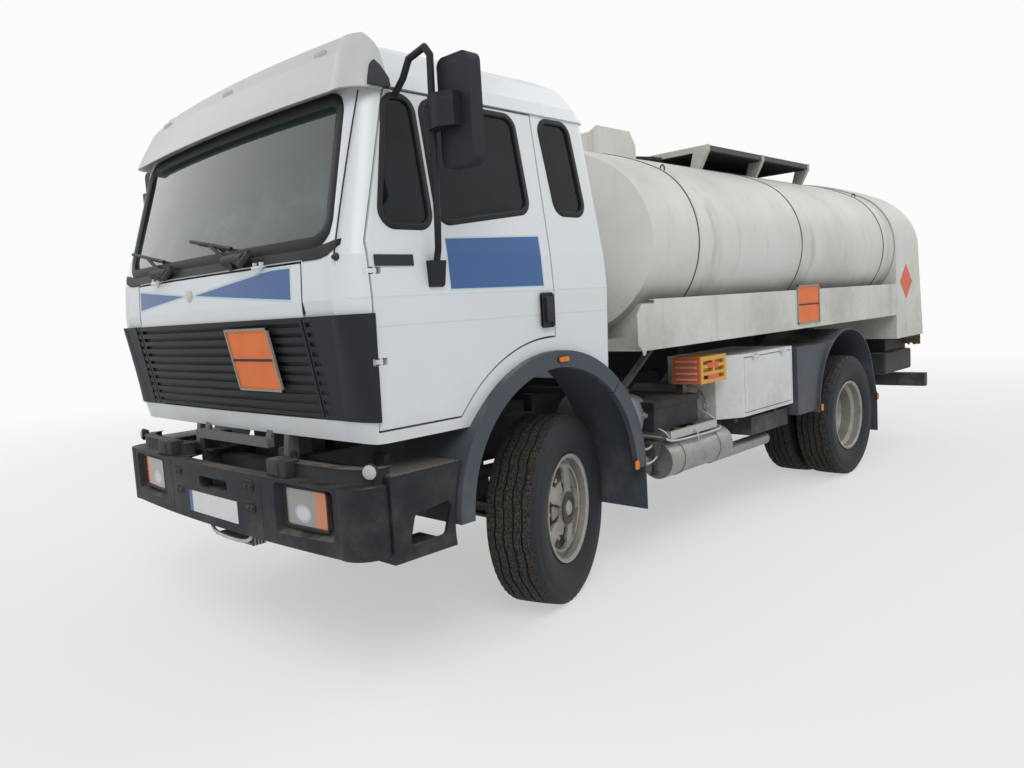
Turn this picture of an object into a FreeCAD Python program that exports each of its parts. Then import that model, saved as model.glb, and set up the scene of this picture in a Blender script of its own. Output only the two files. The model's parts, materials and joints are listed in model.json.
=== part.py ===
import FreeCAD, Part
import math
import os
from FreeCAD import Vector

# Two-axle tank truck with a tilting sleeper cab, in millimetres.
# X is across, positive on the driver's side. Y runs rearwards, Z is up.
# The origin is on the ground, midway between the bumper's face and the under-run bar.

# Layout along the truck
front_overhang = 1440.0
wheelbase = 3800.0
rear_overhang = 2150.0
y_nose = -(front_overhang + wheelbase + rear_overhang) / 2
y_axle_front = y_nose + front_overhang
y_axle_rear = y_axle_front + wheelbase
y_tail = y_axle_rear + rear_overhang
moving_gap = 10.0
running_gap = 0.05
seat_gap = 0.3

# Tyres and rims
tyre_radius = 522.0
tyre_width = 298.0
tread_width = 250.0
sidewall_radius = 415.0
bead_radius = 286.0
flange_radius = 299.0
rim_width = 250.0
rim_wall = 10.0
rim_well_radius = 258.0
twin_spacing = 330.0
rear_outer_centre = 1077.0
nut_count = 10

# Steering
kingpin_x = 915.0
wheel_offset = 80.0
rest_steer_deg = 18.0
kingpin_radius = 24.0
boss_radius = 50.0
boss_half_height = 70.0
steering_arm = 150.0
ball_pin_radius = 12.0
ball_drop = 132.0
tie_rod_radius = 15.0
hub_radius = 85.0
front_spindle_radius = 38.0
rear_spindle_radius = 55.0
drum_radius = 207.0

# Ladder frame
frame_half_width = 400.0
frame_top = 960.0
frame_height = 250.0
frame_flange = 80.0
frame_wall = 8.0
frame_front = y_nose + 170.0
frame_rear = y_tail - 160.0
member_height = 160.0
member_depth = 90.0

# Cab shell: each row is height, front, half width, rear, with front and rear counted from the nose
cab_sections = (
    (1100.0, 100.0, 1195.0, 1820.0),
    (1190.0, 55.0, 1205.0, 1825.0),
    (1720.0, 50.0, 1222.0, 1830.0),
    (1900.0, 60.0, 1210.0, 1828.0),
    (2620.0, 258.0, 1117.0, 1783.0),
)
# Roof: the same columns
roof_sections = (
    (2620.0, 258.0, 1117.0, 1783.0),
    (2690.0, 280.0, 1100.0, 1765.0),
    (2790.0, 330.0, 1055.0, 1690.0),
    (2835.0, 400.0, 985.0, 1600.0),
    (2850.0, 520.0, 860.0, 1480.0),
)
cab_wall = 50.0
front_bow = 45.0
corner_width = 150.0
corner_depth = 95.0
rear_corner = 60.0
glass_inset = 8.0
glass_thickness = 6.0
cab_floor_z = 1160.0
seat_floor_z = 1418.0
floor_thickness = 30.0
door_sill_x = 1105.0
floor_step_y = y_nose + 760.0
dash_wall_y = y_nose + 150.0
tunnel_half_width = 480.0
tunnel_top = 1560.0
tunnel_wall = 25.0
tunnel_front = y_nose + 350.0
tilt_pivot_y = y_nose + 200.0
tilt_pivot_z = 1000.0
tilt_pin_radius = 20.0
tilt_ear_x = 450.0
tilt_ear_thickness = 40.0
cross_tube_half = 385.0

# Doors
door_front = y_nose + 200.0
door_rear = y_nose + 1335.0
door_bottom = 1160.0
door_top = 2620.0 - moving_gap
door_rake_z = 1950.0
door_rake = 215.0
hinge_inset = 16.0
hinge_setback = 25.0
hinge_pin_radius = 6.0
hinge_heights = (1450.0, 1830.0)
hinge_ear_height = 20.0
hinge_pin_reach = 40.0

# Front wheel arch, centred ahead of the axle
arch_y = y_nose + 1315.0
arch_z = 670.0
arch_door_radius = 815.0
arch_outer_radius = 738.0
arch_lip_radius = 650.0
arch_liner_wall = 10.0
arch_inner_x = 780.0
arch_lip_x = 1215.0
arch_outer_x = 1250.0
arch_foot_z = 670.0
arch_split_deg = 46.0
mudflap_bottom = 411.0

# Sun visor: the columns of the cab table
visor_sections = (
    (2600.0, 180.0, 1142.0, 1783.0),
    (2660.0, 205.0, 1130.0, 1783.0),
    (2790.0, 270.0, 1082.0, 1700.0),
    (2885.0, 352.0, 1012.0, 1600.0),
)
visor_wall = 14.0
visor_rear = y_nose + 430.0
visor_notch_y = 392.0

# Grille
grille_half_width = 868.0
grille_bottom = 1205.0
grille_top = 1655.0
grille_rise = 14.0
slat_count = 10
slat_height = 24.0
grille_bar = 18.0
corner_slant_top = 930.0
corner_slant_bottom = 1035.0
corner_panel_rise = 18.0
flap_top = 1885.0
flap_axis_y = 54.0
flap_hinge_xs = (-560.0, 560.0)
hinge_eye_half = 20.0
flap_wall = 20.0

# Bumper, lamps and steps
bumper_bottom = 620.0
bumper_top = 930.0
bumper_wall = 70.0
bumper_half_width = 1215.0
bumper_rear = y_nose + 200.0
lamp_inner_x = 660.0
lamp_outer_x = 970.0
lamp_bottom = 722.0
lamp_top = 896.0
lamp_depth = 58.0
lamp_recess = 34.0
lamp_funnel_spread = 95.0
tow_slot = (-130.0, 170.0, 812.0, 870.0)
step_front = y_nose + 206.0
step_rear = y_nose + 640.0
step_top = 962.0
step_bottom = 580.0
step_inner_x = 960.0
step_outer_x = 1230.0
step_wall = 18.0
step_gap = 20.0

# Tank
tank_half_width = 1220.0
tank_half_height = 720.0
tank_side_radius = 560.0
tank_z = 2002.0
tank_front = y_nose + 1960.0
tank_dish_radius = 2600.0
tank_rear = y_axle_rear + 1150.0
band_width = 16.0
band_rise = 4.0
tank_length = tank_rear - tank_front
band_ys = tuple(tank_front + share * tank_length for share in (0.19, 0.535, 0.932))

# Tail casing
casing_rear_low = y_tail - 240.0
casing_rear_high = y_tail - 370.0
casing_bottom = 1110.0
casing_waist = 2002.0
casing_wall = 40.0
casing_rise = 15.0
casing_roll = 500.0
hatch_right = -680.0
hatch_left = 1080.0
hatch_bottom = 1190.0
hatch_top = 1960.0
hatch_thickness = 30.0
hatch_axis_out = 18.0
hatch_hinge_xs = (-300.0, 700.0)
ladder_xs = (-1140.0, -780.0)
ladder_tube = 16.0
ladder_standoff = 70.0
rung_pitch = 270.0

# Hose trays along both sides
tray_front = y_nose + 2050.0
tray_rear = tank_rear - 26.0
tray_step = 180.0
tray_inner_x = 940.0
tray_outer_x = 1235.0
tray_bottom = 1340.0
tray_top = 1640.0
tray_wall = 6.0
tray_inner_lip = 70.0
tray_bracket_ys = tuple(tray_front + share * (tray_rear - tray_front) for share in (0.058, 0.29, 0.522, 0.754, 0.973))
tray_bracket_wall = 10.0

# Subframe and saddles
subframe_height = 110.0
subframe_width = 70.0
subframe_front = y_nose + 2010.0
subframe_rear = y_tail - 440.0
front_bearer_y = y_nose + 2050.0
front_bearer_width = 45.0
front_bearer_end = 1120.0
strut_foot_x = 1060.0
strut_width = 40.0
strut_run = 340.0
saddle_ys = tuple(tank_front + share * tank_length for share in (0.077, 0.348, 0.607, 0.889))
saddle_wall = 90.0
saddle_half_width = 580.0

# Walkway, dome box and manhole
walk_inner_x = 180.0
walk_outer_x = 725.0
walk_front = tank_front + 1830.0
walk_rear = tank_rear - 760.0
walk_z = 2745.0
walk_frame = 40.0
walk_strap = 40.0
walk_bar = 12.0
walk_bar_count = 8
dome_front = y_nose + 2830.0
dome_rear = y_nose + 3390.0
dome_half_width = 350.0
dome_top = 2900.0
dome_wall = 12.0
neck_radius = 225.0
neck_wall = 14.0
neck_top = 2790.0
lid_radius = 240.0
lid_thickness = 22.0
lid_hinge_z = 2802.0
lid_hinge_x = -262.0
lid_pin_radius = 8.0

# Rear mudguards: front foot, front bend, crown, rear bend and rear foot, in Y from the axle and Z
guard_points = ((-700.0, 640.0), (-520.0, 1105.0), (-40.0, 1282.0), (290.0, 1165.0), (478.0, 872.0), (566.0, 640.0))
guard_wall = 10.0
guard_box_points = ((-1050.0, 665.0), (-1050.0, 1190.0), (-440.0, 1190.0), (-520.0, 1100.0), (-692.0, 665.0))
guard_inner_x = 590.0
guard_outer_x = 1240.0
guard_flap_bottom = 300.0

# Under-run bar
underrun_bottom = 540.0
underrun_top = 680.0
underrun_depth = 90.0
underrun_half_width = 1200.0
tail_lamp_inner_x = 800.0
tail_lamp_outer_x = 1130.0
tail_lamp_margin = 22.0
tail_lamp_depth = 40.0
coupling_plate_wall = 16.0
coupling_plate_half_width = 130.0
coupling_plate_half_height = 90.0
coupling_plate_z = 800.0
coupling_spacing_x = 160.0
coupling_spacing_z = 100.0
coupling_hole_radius = 10.5

# Side equipment on the driver's side, placed in Y from the nose
arm_height = 40.0
arm_width = 40.0
battery_y = (2400.0, 2925.0)
battery_x = (560.0, 1080.0)
battery_z = (800.0, 990.0)
air_tanks = ((2250.0, 900.0, 140.0, 470.0, 1060.0), (3045.0, 925.0, 105.0, 470.0, 1000.0))
silencer_y = (2440.0, 3210.0)
silencer_x = 1060.0
silencer_z = 612.0
silencer_radius = 120.0
exhaust_radius = 48.0
exhaust_end = 4030.0
exhaust_z = 500.0
locker_y = (3170.0, front_overhang + wheelbase - 1110.0)
locker_x = (700.0, 1200.0)
locker_z = (770.0, 1215.0)
locker_wall = 12.0
locker_chamfer = 120.0
locker_door_gap = 6.0
locker_axis_out = 14.0
locker_hinge_shares = (0.2, 0.8)
rack_y = (2820.0, 3150.0)
rack_x = (960.0, 1180.0)
rack_z = (1060.0, 1240.0)
fuel_y = (2450.0, 3650.0)
fuel_x = (600.0, 1180.0)
fuel_z = (560.0, 1120.0)
fuel_corner = 90.0

# Power unit and axles
engine_half_width = 300.0
engine_y = (560.0, 1640.0)
engine_z = (620.0, 1380.0)
radiator_y = (420.0, 500.0)
radiator_half_width = 300.0
radiator_z = (720.0, 1420.0)
spring_x = 440.0
spring_width = 70.0
spring_half_length = 700.0
leaf_thickness = 16.0
beam_half_width = 55.0
beam_height = 90.0
beam_drop = 60.0
rear_tube_radius = 75.0
pumpkin_radius = 190.0

# Seats and bunk
seat_width = 500.0
seat_x = 620.0
seat_front = y_nose + 850.0
seat_depth = 470.0
seat_height = 180.0
seat_base_height = 220.0
seat_back_height = 640.0
seat_back_depth = 120.0
bunk_front = y_nose + 1400.0
bunk_height = 90.0
wheel_rim_radius = 235.0
wheel_rim_tube = 16.0

# Mirrors, in X from the middle and Y from the nose
mirror_x = (1392.0, 1580.0)
mirror_y = (480.0, 548.0)
mirror_z = (2228.0, 2672.0)
mirror_corner = 38.0
mirror_clamp_z = (2385.0, 2520.0)
mirror_clamp_depth = 72.0
mirror_tube = 15.0


def block(x, y, z):
    return Part.makeBox(x[1] - x[0], y[1] - y[0], z[1] - z[0], Vector(x[0], y[0], z[0]))


def rod(start, end, radius):
    start, end = Vector(*start), Vector(*end)
    return Part.makeCylinder(radius, (end - start).Length, start, end - start)


def ring(start, end, radius, bore):
    return rod(start, end, radius).cut(rod(start, end, bore))


def outline(points, place):
    """A closed wire: a pair is a corner, four numbers are an arc through the first pair to the second."""
    edges = []
    here = points[0]
    for step in list(points[1:]) + [points[0][:2]]:
        end = step[-2:]
        if len(step) == 4:
            edges.append(Part.Arc(place(*here[-2:]), place(*step[:2]), place(*end)).toShape())
        elif place(*here[-2:]).distanceToPoint(place(*end)) > 1e-6:
            edges.append(Part.LineSegment(place(*here[-2:]), place(*end)).toShape())
        here = end
    return Part.Wire(edges)


def side_plate(points, x0, x1):
    """An outline in Y and Z, carried across from x0 to x1."""
    wire = outline(points, lambda y, z: Vector(x0, y, z))
    return Part.Face(wire).extrude(Vector(x1 - x0, 0, 0))


def front_plate(points, y0, y1):
    """An outline in X and Z, carried rearwards from y0 to y1."""
    wire = outline(points, lambda x, z: Vector(x, y0, z))
    return Part.Face(wire).extrude(Vector(0, y1 - y0, 0))


def plan_plate(points, z0, z1):
    """An outline in X and Y, carried up from z0 to z1."""
    wire = outline(points, lambda x, y: Vector(x, y, z0))
    return Part.Face(wire).extrude(Vector(0, 0, z1 - z0))


def rounded(corners, radius):
    """The corners of a polygon, each rounded by an arc, as points for an outline."""
    found = []
    count = len(corners)
    for i, corner in enumerate(corners):
        here = Vector(corner[0], corner[1], 0)
        before = Vector(*corners[i - 1], 0) - here
        after = Vector(*corners[(i + 1) % count], 0) - here
        half = before.getAngle(after) / 2
        before.normalize()
        after.normalize()
        setback = radius / math.tan(half)
        middle = before + after
        middle.normalize()
        centre = here + middle * (radius / math.sin(half))
        start = here + before * setback
        end = here + after * setback
        top = centre - middle * radius
        found.append((start.x, start.y))
        found.append((top.x, top.y, end.x, end.y))
    return found


def turned(points, x_centre=0.0):
    """A profile of (x, radius) pairs turned about the wheel's own X axis."""
    wire = outline(points, lambda x, r: Vector(x_centre + x, 0, r))
    return Part.Face(wire).revolve(Vector(0, 0, 0), Vector(1, 0, 0), 360)


def mirrored(shape):
    return shape.mirror(Vector(0, 0, 0), Vector(1, 0, 0))


def both(shapes):
    return list(shapes) + [mirrored(shape) for shape in shapes]


def fused(shapes):
    first = shapes[0]
    if len(shapes) == 1:
        return first
    return first.fuse(list(shapes[1:])).removeSplitter()


# Cab shell

def at_height(sections, z):
    """Front, half width and rear of the shell at a height, between the rows of its table."""
    for low, high in zip(sections, sections[1:]):
        if low[0] <= z <= high[0]:
            share = (z - low[0]) / (high[0] - low[0])
            return [a + (b - a) * share for a, b in zip(low[1:], high[1:])]
    return list(sections[-1][1:])


def shell_ring(z, front, half_width, rear, inset):
    """One level of the cab: a bowed front, rounded front corners, straight sides and a square back."""
    y0 = y_nose + front + inset
    y1 = y0 + front_bow
    y2 = y1 + corner_depth
    x2 = half_width - inset
    x1 = x2 - corner_width
    y3 = y_nose + rear - inset
    corner = rear_corner - inset / 2
    bulge = 0.72
    mid_x = x1 + corner_width * bulge
    mid_y = y1 + corner_depth * (1 - bulge)
    far_x = x2 - corner * (1 - math.cos(math.radians(45)))
    far_y = y3 - corner * (1 - math.sin(math.radians(45)))
    points = [
        (-x1, y1),
        (0, y0, x1, y1),
        (mid_x, mid_y, x2, y2),
        (x2, y3 - corner),
        (far_x, far_y, x2 - corner, y3),
        (-x2 + corner, y3),
        (-far_x, far_y, -x2, y3 - corner),
        (-x2, y2),
        (-mid_x, mid_y, -x1, y1),
    ]
    return outline(points, lambda x, y: Vector(x, y, z))


def shell_solid(sections, inset, z_low=None, z_high=None):
    low = sections[0][0] if z_low is None else z_low
    high = sections[-1][0] if z_high is None else z_high
    heights = [low] + [row[0] for row in sections if low < row[0] < high] + [high]
    rings = [shell_ring(z, *at_height(sections, z), inset) for z in heights]
    return Part.makeLoft(rings, True, True)


def shell_layer(sections, outer_inset, inner_inset):
    outer = shell_solid(sections, outer_inset)
    return outer.cut(shell_solid(sections, inner_inset))


def door_outline(gap):
    """The door as seen from the side: raked front edge, and its rear foot cut away over the wheel."""
    front, rear = door_front - gap, door_rear + gap
    bottom, top = door_bottom - gap, door_top + gap
    radius = arch_door_radius - gap
    foot_y = arch_y - math.sqrt(radius ** 2 - (bottom - arch_z) ** 2)
    heel_z = arch_z + math.sqrt(radius ** 2 - (rear - arch_y) ** 2)
    middle = math.radians(128)
    return [
        (front, bottom),
        (foot_y, bottom),
        (arch_y + radius * math.cos(middle), arch_z + radius * math.sin(middle), rear, heel_z),
        (rear, top),
        (front + door_rake, top),
        (front, door_rake_z),
    ]


def door_prism(side, gap):
    return side_plate(door_outline(gap), side * 900.0, side * 1300.0)


quarter_window = (
    (door_front + 85, 2022),
    (door_front + 362, 2022),
    (door_front + 352, 2580),
    (door_front + 215, 2580),
)
door_window = (
    (door_front + 418, 2040),
    (door_front + 1020, 2120),
    (door_front + 1000, 2580),
    (door_front + 408, 2580),
)
rear_window = (
    (y_nose + 1445, 2118),
    (y_nose + 1668, 2118),
    (y_nose + 1625, 2590),
    (y_nose + 1400, 2590),
)
windscreen = ((-1045, 1960), (1045, 1960), (985, 2590), (-985, 2590))
window_corner = 60.0
flap_corners = (
    (-grille_half_width, grille_bottom),
    (grille_half_width, grille_bottom),
    (grille_half_width, flap_top),
    (-grille_half_width, flap_top),
)


def side_window(corners, side):
    return side_plate(rounded(corners, window_corner), side * 900.0, side * 1300.0)


def windscreen_prism():
    return front_plate(rounded(windscreen, 90.0), y_nose, y_nose + 500)


def flap_prism(gap):
    middle = (grille_bottom + flap_top) / 2
    room = [(x + math.copysign(gap, x), z + math.copysign(gap, z - middle)) for x, z in flap_corners]
    return front_plate(room, y_nose - 100, y_nose + 200)


def arch_cut(radius, x0, x1):
    return rod((x0, arch_y, arch_z), (x1, arch_y, arch_z), radius)


cab_tube = shell_layer(cab_sections, 0, cab_wall)
glass_layer = shell_layer(cab_sections, glass_inset, glass_inset + glass_thickness)


def hinge_axis(side):
    half_width = max(row[2] for row in cab_sections)
    return side * (half_width - hinge_inset), door_front + hinge_setback


def hinge_ears(side):
    """The two ears on the corner post, each with its upright pin."""
    x, y = hinge_axis(side)
    reach = hinge_pin_radius + 4
    pieces = []
    for z in hinge_heights:
        low_x, high_x = sorted((x - side * 30, x + side * 4))
        half = hinge_ear_height / 2
        pieces.append(block((low_x, high_x), (door_front - 30, y + reach), (z - half, z + half)))
        pieces.append(rod((x, y, z - hinge_pin_reach), (x, y, z + hinge_pin_reach), hinge_pin_radius))
    return pieces


def hinge_clearance(side):
    x, y = hinge_axis(side)
    room = 5.0
    cuts = []
    for z in hinge_heights:
        low_x, high_x = sorted((x - side * 60, x + side * 40))
        half = hinge_ear_height / 2 + room
        cuts.append(block((low_x, high_x), (door_front - 40, y + 30), (z - half, z + half)))
        reach = hinge_pin_reach + 2
        cuts.append(rod((x, y, z - reach), (x, y, z + reach), hinge_pin_radius + running_gap))
    return cuts


def cab_remainder():
    shape = cab_tube
    for side in (1, -1):
        shape = shape.cut(door_prism(side, moving_gap))
    shape = shape.cut(arch_cut(arch_outer_radius, -1300, 1300))
    return shape


def region(y0, y1):
    return block((-1400, 1400), (y0, y1), (1000, 2700))


remainder = cab_remainder()
rear_wall_y = y_nose + 1700.0


def cab_front():
    shape = remainder.common(region(y_nose - 100, arch_y - 200))
    shape = shape.cut(windscreen_prism())
    shape = shape.cut(flap_prism(moving_gap))
    pieces = [shape]
    for side in (1, -1):
        pieces += hinge_ears(side)
    for fixed, moving, bore in flap_hinges():
        pieces += fixed
    return [fused(pieces)]


def cab_side(side):
    low, high = sorted((0, side * 1400))
    shape = remainder.common(block((low, high), (arch_y - 200, rear_wall_y), (1000, 2700)))
    shape = shape.cut(side_window(rear_window, side))
    return shape.Solids


def cab_rear():
    shape = remainder.common(region(rear_wall_y, y_nose + 2000))
    tunnel = block((-tunnel_half_width, tunnel_half_width), (rear_wall_y, y_nose + 2000), (1000, tunnel_top))
    return shape.cut(tunnel).Solids


def cab_roof():
    outer = shell_solid(roof_sections, 0)
    low = roof_sections[0][0]
    drip_rows = [(low, *roof_sections[0][1:]), (low + 16, *at_height(roof_sections, low + 16))]
    drip = Part.makeLoft([shell_ring(*row, -12) for row in drip_rows], True, True)
    drip = drip.cut(block((-1400, 1400), (y_nose, visor_rear + 10), (low - 10, low + 40)))
    inner_rows = [(z - (cab_wall if z > low else 0), f, w, r) for z, f, w, r in roof_sections]
    inner = Part.makeLoft([shell_ring(*row, cab_wall) for row in inner_rows], True, True)
    return [fused([outer.cut(inner), drip.cut(outer)])]


def at(y):
    """A distance counted rearwards from the nose."""
    return y_nose + y


def door(side):
    shape = cab_tube.common(door_prism(side, 0))
    for cut in hinge_clearance(side):
        shape = shape.cut(cut)
    for corners in (quarter_window, door_window):
        shape = shape.cut(side_window(corners, side))
    return shape.Solids


def door_glass(side):
    return [glass_layer.common(side_window(corners, side)) for corners in (quarter_window, door_window)]


def mirror(side):
    """A tall flat housing held by a clamp on a bent tube, with a tapered foot on the door."""
    x0, x1 = mirror_x
    corners = [(side * x0, mirror_z[0]), (side * x1, mirror_z[0]), (side * x1, mirror_z[1]), (side * x0, mirror_z[1])]
    housing = front_plate(rounded(corners, mirror_corner), at(mirror_y[0]), at(mirror_y[1]))
    clamp_x = sorted((side * (x0 - 25), side * (x1 - 60)))
    clamp = plan_plate([
        (clamp_x[0], at(mirror_y[0] - 40)),
        ((clamp_x[0] + clamp_x[1]) / 2, at(mirror_y[0] - mirror_clamp_depth), clamp_x[1], at(mirror_y[0] - 40)),
        (clamp_x[1], at(mirror_y[0] + 5)),
        (clamp_x[0], at(mirror_y[0] + 5)),
    ], *mirror_clamp_z)
    stem = side * (x0 - 6)
    tube_y = at(mirror_y[0] - 26)
    foot_x = side * (at_height(cab_sections, 1850.0)[1] + seat_gap)
    head_x = side * (at_height(cab_sections, 2590.0)[1] + seat_gap)
    path = [
        (foot_x + side * 20, at(548), 1860),
        (foot_x + side * 45, at(540), 1915),
        (stem - side * 22, tube_y, 2010),
        (stem, tube_y, 2690),
        (stem - side * 30, tube_y, 2728),
        (side * 1250, at(455), 2706),
        (side * 1195, at(462), 2640),
        (head_x, at(470), 2590),
    ]
    tubes = [rod(a, b, mirror_tube) for a, b in zip(path, path[1:])]
    balls = [Part.makeSphere(mirror_tube, Vector(*p)) for p in path[1:-1]]
    foot = front_plate([
        (foot_x - side * 10, 1745),
        (foot_x + side * 22, 1760),
        (foot_x + side * 40, 1868),
        (foot_x - side * 10, 1868),
    ], at(505), at(588))
    arm = fused([*tubes, *balls, housing, clamp, foot])
    return [arm.cut(cab_outer)]


def handle(side):
    """A recessed plate near the door's rear edge with a pull across it."""
    x = side * at_height(cab_sections, 1560.0)[1]
    low_x, high_x = sorted((x - side * 16, x + side * 14))
    return [block((low_x, high_x), (at(1240), at(1310)), (1533, 1700)).cut(cab_tube)]


cab_outer = shell_solid(cab_sections, 0)


def level_hinge(x, y, z, eye_radius, pin_radius, fixed_block, moving_block):
    """Fixed ears with a pin, and the eye between them, on a level axis along X."""
    half, gap, ear = hinge_eye_half, 2.0, 12.0
    fixed = [rod((x - half - gap - ear, y, z), (x + half + gap + ear, y, z), pin_radius)]
    for side in (1, -1):
        ends = sorted((x + side * (half + gap), x + side * (half + gap + ear)))
        fixed.append(rod((ends[0], y, z), (ends[1], y, z), eye_radius))
        fixed.append(block(ends, *fixed_block))
    moving = [rod((x - half, y, z), (x + half, y, z), eye_radius), block((x - half, x + half), *moving_block)]
    bore = rod((x - half - 1, y, z), (x + half + 1, y, z), pin_radius + running_gap)
    return fixed, moving, bore


def flap_hinges():
    y, z = at(flap_axis_y), flap_top + moving_gap / 2
    fixed_block = ((y, y + 32), (z, z + 24))
    moving_block = ((y, y + 26), (z - 24, z))
    return [level_hinge(x, y, z, 9.0, 5.0, fixed_block, moving_block) for x in flap_hinge_xs]


def cab_floor():
    """Low floor at the feet, raised floor over the arches, front wall, tunnel and tilt ears."""
    room = shell_solid(cab_sections, cab_wall + seat_gap)
    floor_top = cab_floor_z + floor_thickness
    raised_top = seat_floor_z + floor_thickness
    back = at(1900)
    profile = [
        (dash_wall_y, cab_floor_z),
        (floor_step_y, cab_floor_z),
        (floor_step_y, seat_floor_z),
        (back, seat_floor_z),
        (back, raised_top),
        (floor_step_y - floor_thickness, raised_top),
        (floor_step_y - floor_thickness, floor_top),
        (dash_wall_y + floor_thickness, floor_top),
        (dash_wall_y + floor_thickness, flap_top),
        (dash_wall_y, flap_top),
    ]
    shape = side_plate(profile, -1300, 1300)
    half, wall = tunnel_half_width, tunnel_wall
    hole = block((-half, half), (tunnel_front, back + 10), (cab_floor_z - 10, tunnel_top))
    outer = block((-half, half), (tunnel_front, back), (cab_floor_z, tunnel_top))
    inner = block((-half + wall, half - wall), (tunnel_front + wall, back + 10), (cab_floor_z - 10, tunnel_top - wall))
    under = block((-half - 1, half + 1), (floor_step_y, back + 10), (cab_floor_z - 10, seat_floor_z))
    shape = fused([shape.cut(hole), outer.cut(inner).cut(under)]).common(room)
    for side in (1, -1):
        y_range = (door_front - moving_gap, door_rear + moving_gap)
        low_x, high_x = sorted((side * door_sill_x, side * 1300))
        shape = shape.cut(block((low_x, high_x), y_range, (cab_floor_z - 1, flap_top)))
    ears = []
    for side in (1, -1):
        x = sorted((side * tilt_ear_x, side * (tilt_ear_x + tilt_ear_thickness)))
        tab = block(x, (tilt_pivot_y - 32, tilt_pivot_y + 32), (tilt_pivot_z, cab_floor_z))
        eye = rod((x[0], tilt_pivot_y, tilt_pivot_z), (x[1], tilt_pivot_y, tilt_pivot_z), 32)
        pin = rod((x[0] - 1, tilt_pivot_y, tilt_pivot_z), (x[1] + 1, tilt_pivot_y, tilt_pivot_z), tilt_pin_radius + running_gap)
        ears.append(fused([tab, eye]).cut(pin))
    tube = block((-cross_tube_half, cross_tube_half), (at(122), at(162)), (1035, 1078))
    webs = []
    for side in (1, -1):
        x = sorted((side * (cross_tube_half - 80), side * (cross_tube_half - 30)))
        webs.append(block(x, (at(160), at(175)), (1040, cab_floor_z + 5)))
    return [fused([shape, *ears, tube, *webs])]


def dashboard():
    profile = [
        (dash_wall_y + floor_thickness + seat_gap, tunnel_top + seat_gap),
        (at(430), tunnel_top + seat_gap),
        (at(480), 1640),
        (at(440), 1800),
        (at(330), 1870),
        (dash_wall_y + floor_thickness + seat_gap, 1870),
    ]
    room = shell_solid(cab_sections, cab_wall + moving_gap + 10)
    return [side_plate(profile, -1300, 1300).common(room)]


def steering_wheel():
    """A rim, spokes and hub square to a column that leans back from the dashboard."""
    lean = math.radians(38)
    normal = Vector(0, math.sin(lean), math.cos(lean))
    centre = Vector(seat_x, at(610), 1830)
    rim = Part.makeTorus(wheel_rim_radius, wheel_rim_tube, centre, normal)
    across = normal.cross(Vector(1, 0, 0))
    pieces = [rim, Part.makeCylinder(55, 40, centre - normal * 20, normal)]
    for direction in (Vector(1, 0, 0), Vector(-1, 0, 0), across, across * -1):
        pieces.append(Part.makeCylinder(11, wheel_rim_radius, centre, direction))
    column = Part.makeCylinder(28, 330, centre - normal * 330, normal)
    wheel = fused([*pieces, column])
    dash = dashboard()[0]
    floor = cab_floor_solid
    return [wheel.cut(dash).cut(floor).Solids[0]]


def seats():
    """Driver's and passenger's seats: a plinth, a cushion and a back."""
    z0 = seat_floor_z + floor_thickness
    half = seat_width / 2
    found = []
    for x in (seat_x, -seat_x):
        z1 = z0 + seat_base_height
        profile = [
            (seat_front, z1),
            (seat_front + seat_depth, z1),
            (seat_front + seat_depth + 110, z1 + seat_back_height),
            (seat_front + seat_depth + 110 - seat_back_depth, z1 + seat_back_height),
            (seat_front + seat_depth - seat_back_depth, z1 + seat_height - 20),
            (seat_front, z1 + seat_height),
        ]
        found.append(side_plate(profile, x - half, x + half))
    return found


def seat_plinths():
    z0 = seat_floor_z + floor_thickness
    found = []
    for x in (seat_x, -seat_x):
        y = (seat_front + 60, seat_front + seat_depth - 90)
        found.append(block((x - 130, x + 130), y, (z0, z0 + seat_base_height - seat_gap)))
    return found


def bunk():
    z0 = tunnel_top + seat_gap
    room = shell_solid(cab_sections, cab_wall + 15)
    bed = block((-1150, 1150), (bunk_front + 60, at(1760)), (z0, z0 + bunk_height))
    return [bed.common(room)]


def visor():
    """A curved sheet ahead of the roof with short arms back to it."""
    outer = shell_solid(visor_sections, 0)
    sheet = outer.cut(shell_solid(visor_sections, visor_wall))
    front = block((-1400, 1400), (y_nose, visor_rear), (2500, 3000))
    sheet = sheet.common(front)
    for side in (1, -1):
        x = sorted((side * 1080, side * 1300))
        sheet = sheet.cut(block(x, (at(visor_notch_y), visor_rear + 1), (2500, door_top + 2 * moving_gap)))
    arms = []
    roof = shell_solid(roof_sections, -seat_gap)
    for x in (-700, 0, 700):
        arm = block((x - 15, x + 15), (at(190), at(430)), (2700, 2730))
        arms.append(arm.common(outer).cut(roof))
    return [fused([sheet, *arms])]


def windscreen_glass():
    return [glass_layer.common(windscreen_prism())]


def cab_glass():
    return [glass_layer.common(side_window(rear_window, side)) for side in (1, -1)]


def flap_panel():
    """The lifting front: a white band above and a plain backing behind the grille."""
    prism = flap_prism(0)
    upper = shell_layer(cab_sections, 0, flap_wall).common(prism)
    upper = upper.cut(block((-1400, 1400), (at(-200), at(400)), (1000, grille_top)))
    lower = shell_layer(cab_sections, 12, 12 + flap_wall).common(prism)
    lower = lower.cut(block((-1400, 1400), (at(-200), at(400)), (grille_top + 8, 3000)))
    pieces = [upper, lower]
    for fixed, moving, bore in flap_hinges():
        pieces += moving
    shape = fused(pieces)
    for fixed, moving, bore in flap_hinges():
        shape = shape.cut(bore)
    return [shape]


def grille_slots():
    """The heights of each slot between two slats."""
    pitch = (grille_top - grille_bottom - grille_bar) / slat_count
    starts = [grille_bottom + grille_bar + i * pitch for i in range(slat_count)]
    return [(z, z + pitch - slat_height) for z in starts]


corner_backing = shell_solid(cab_sections, -4)


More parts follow.
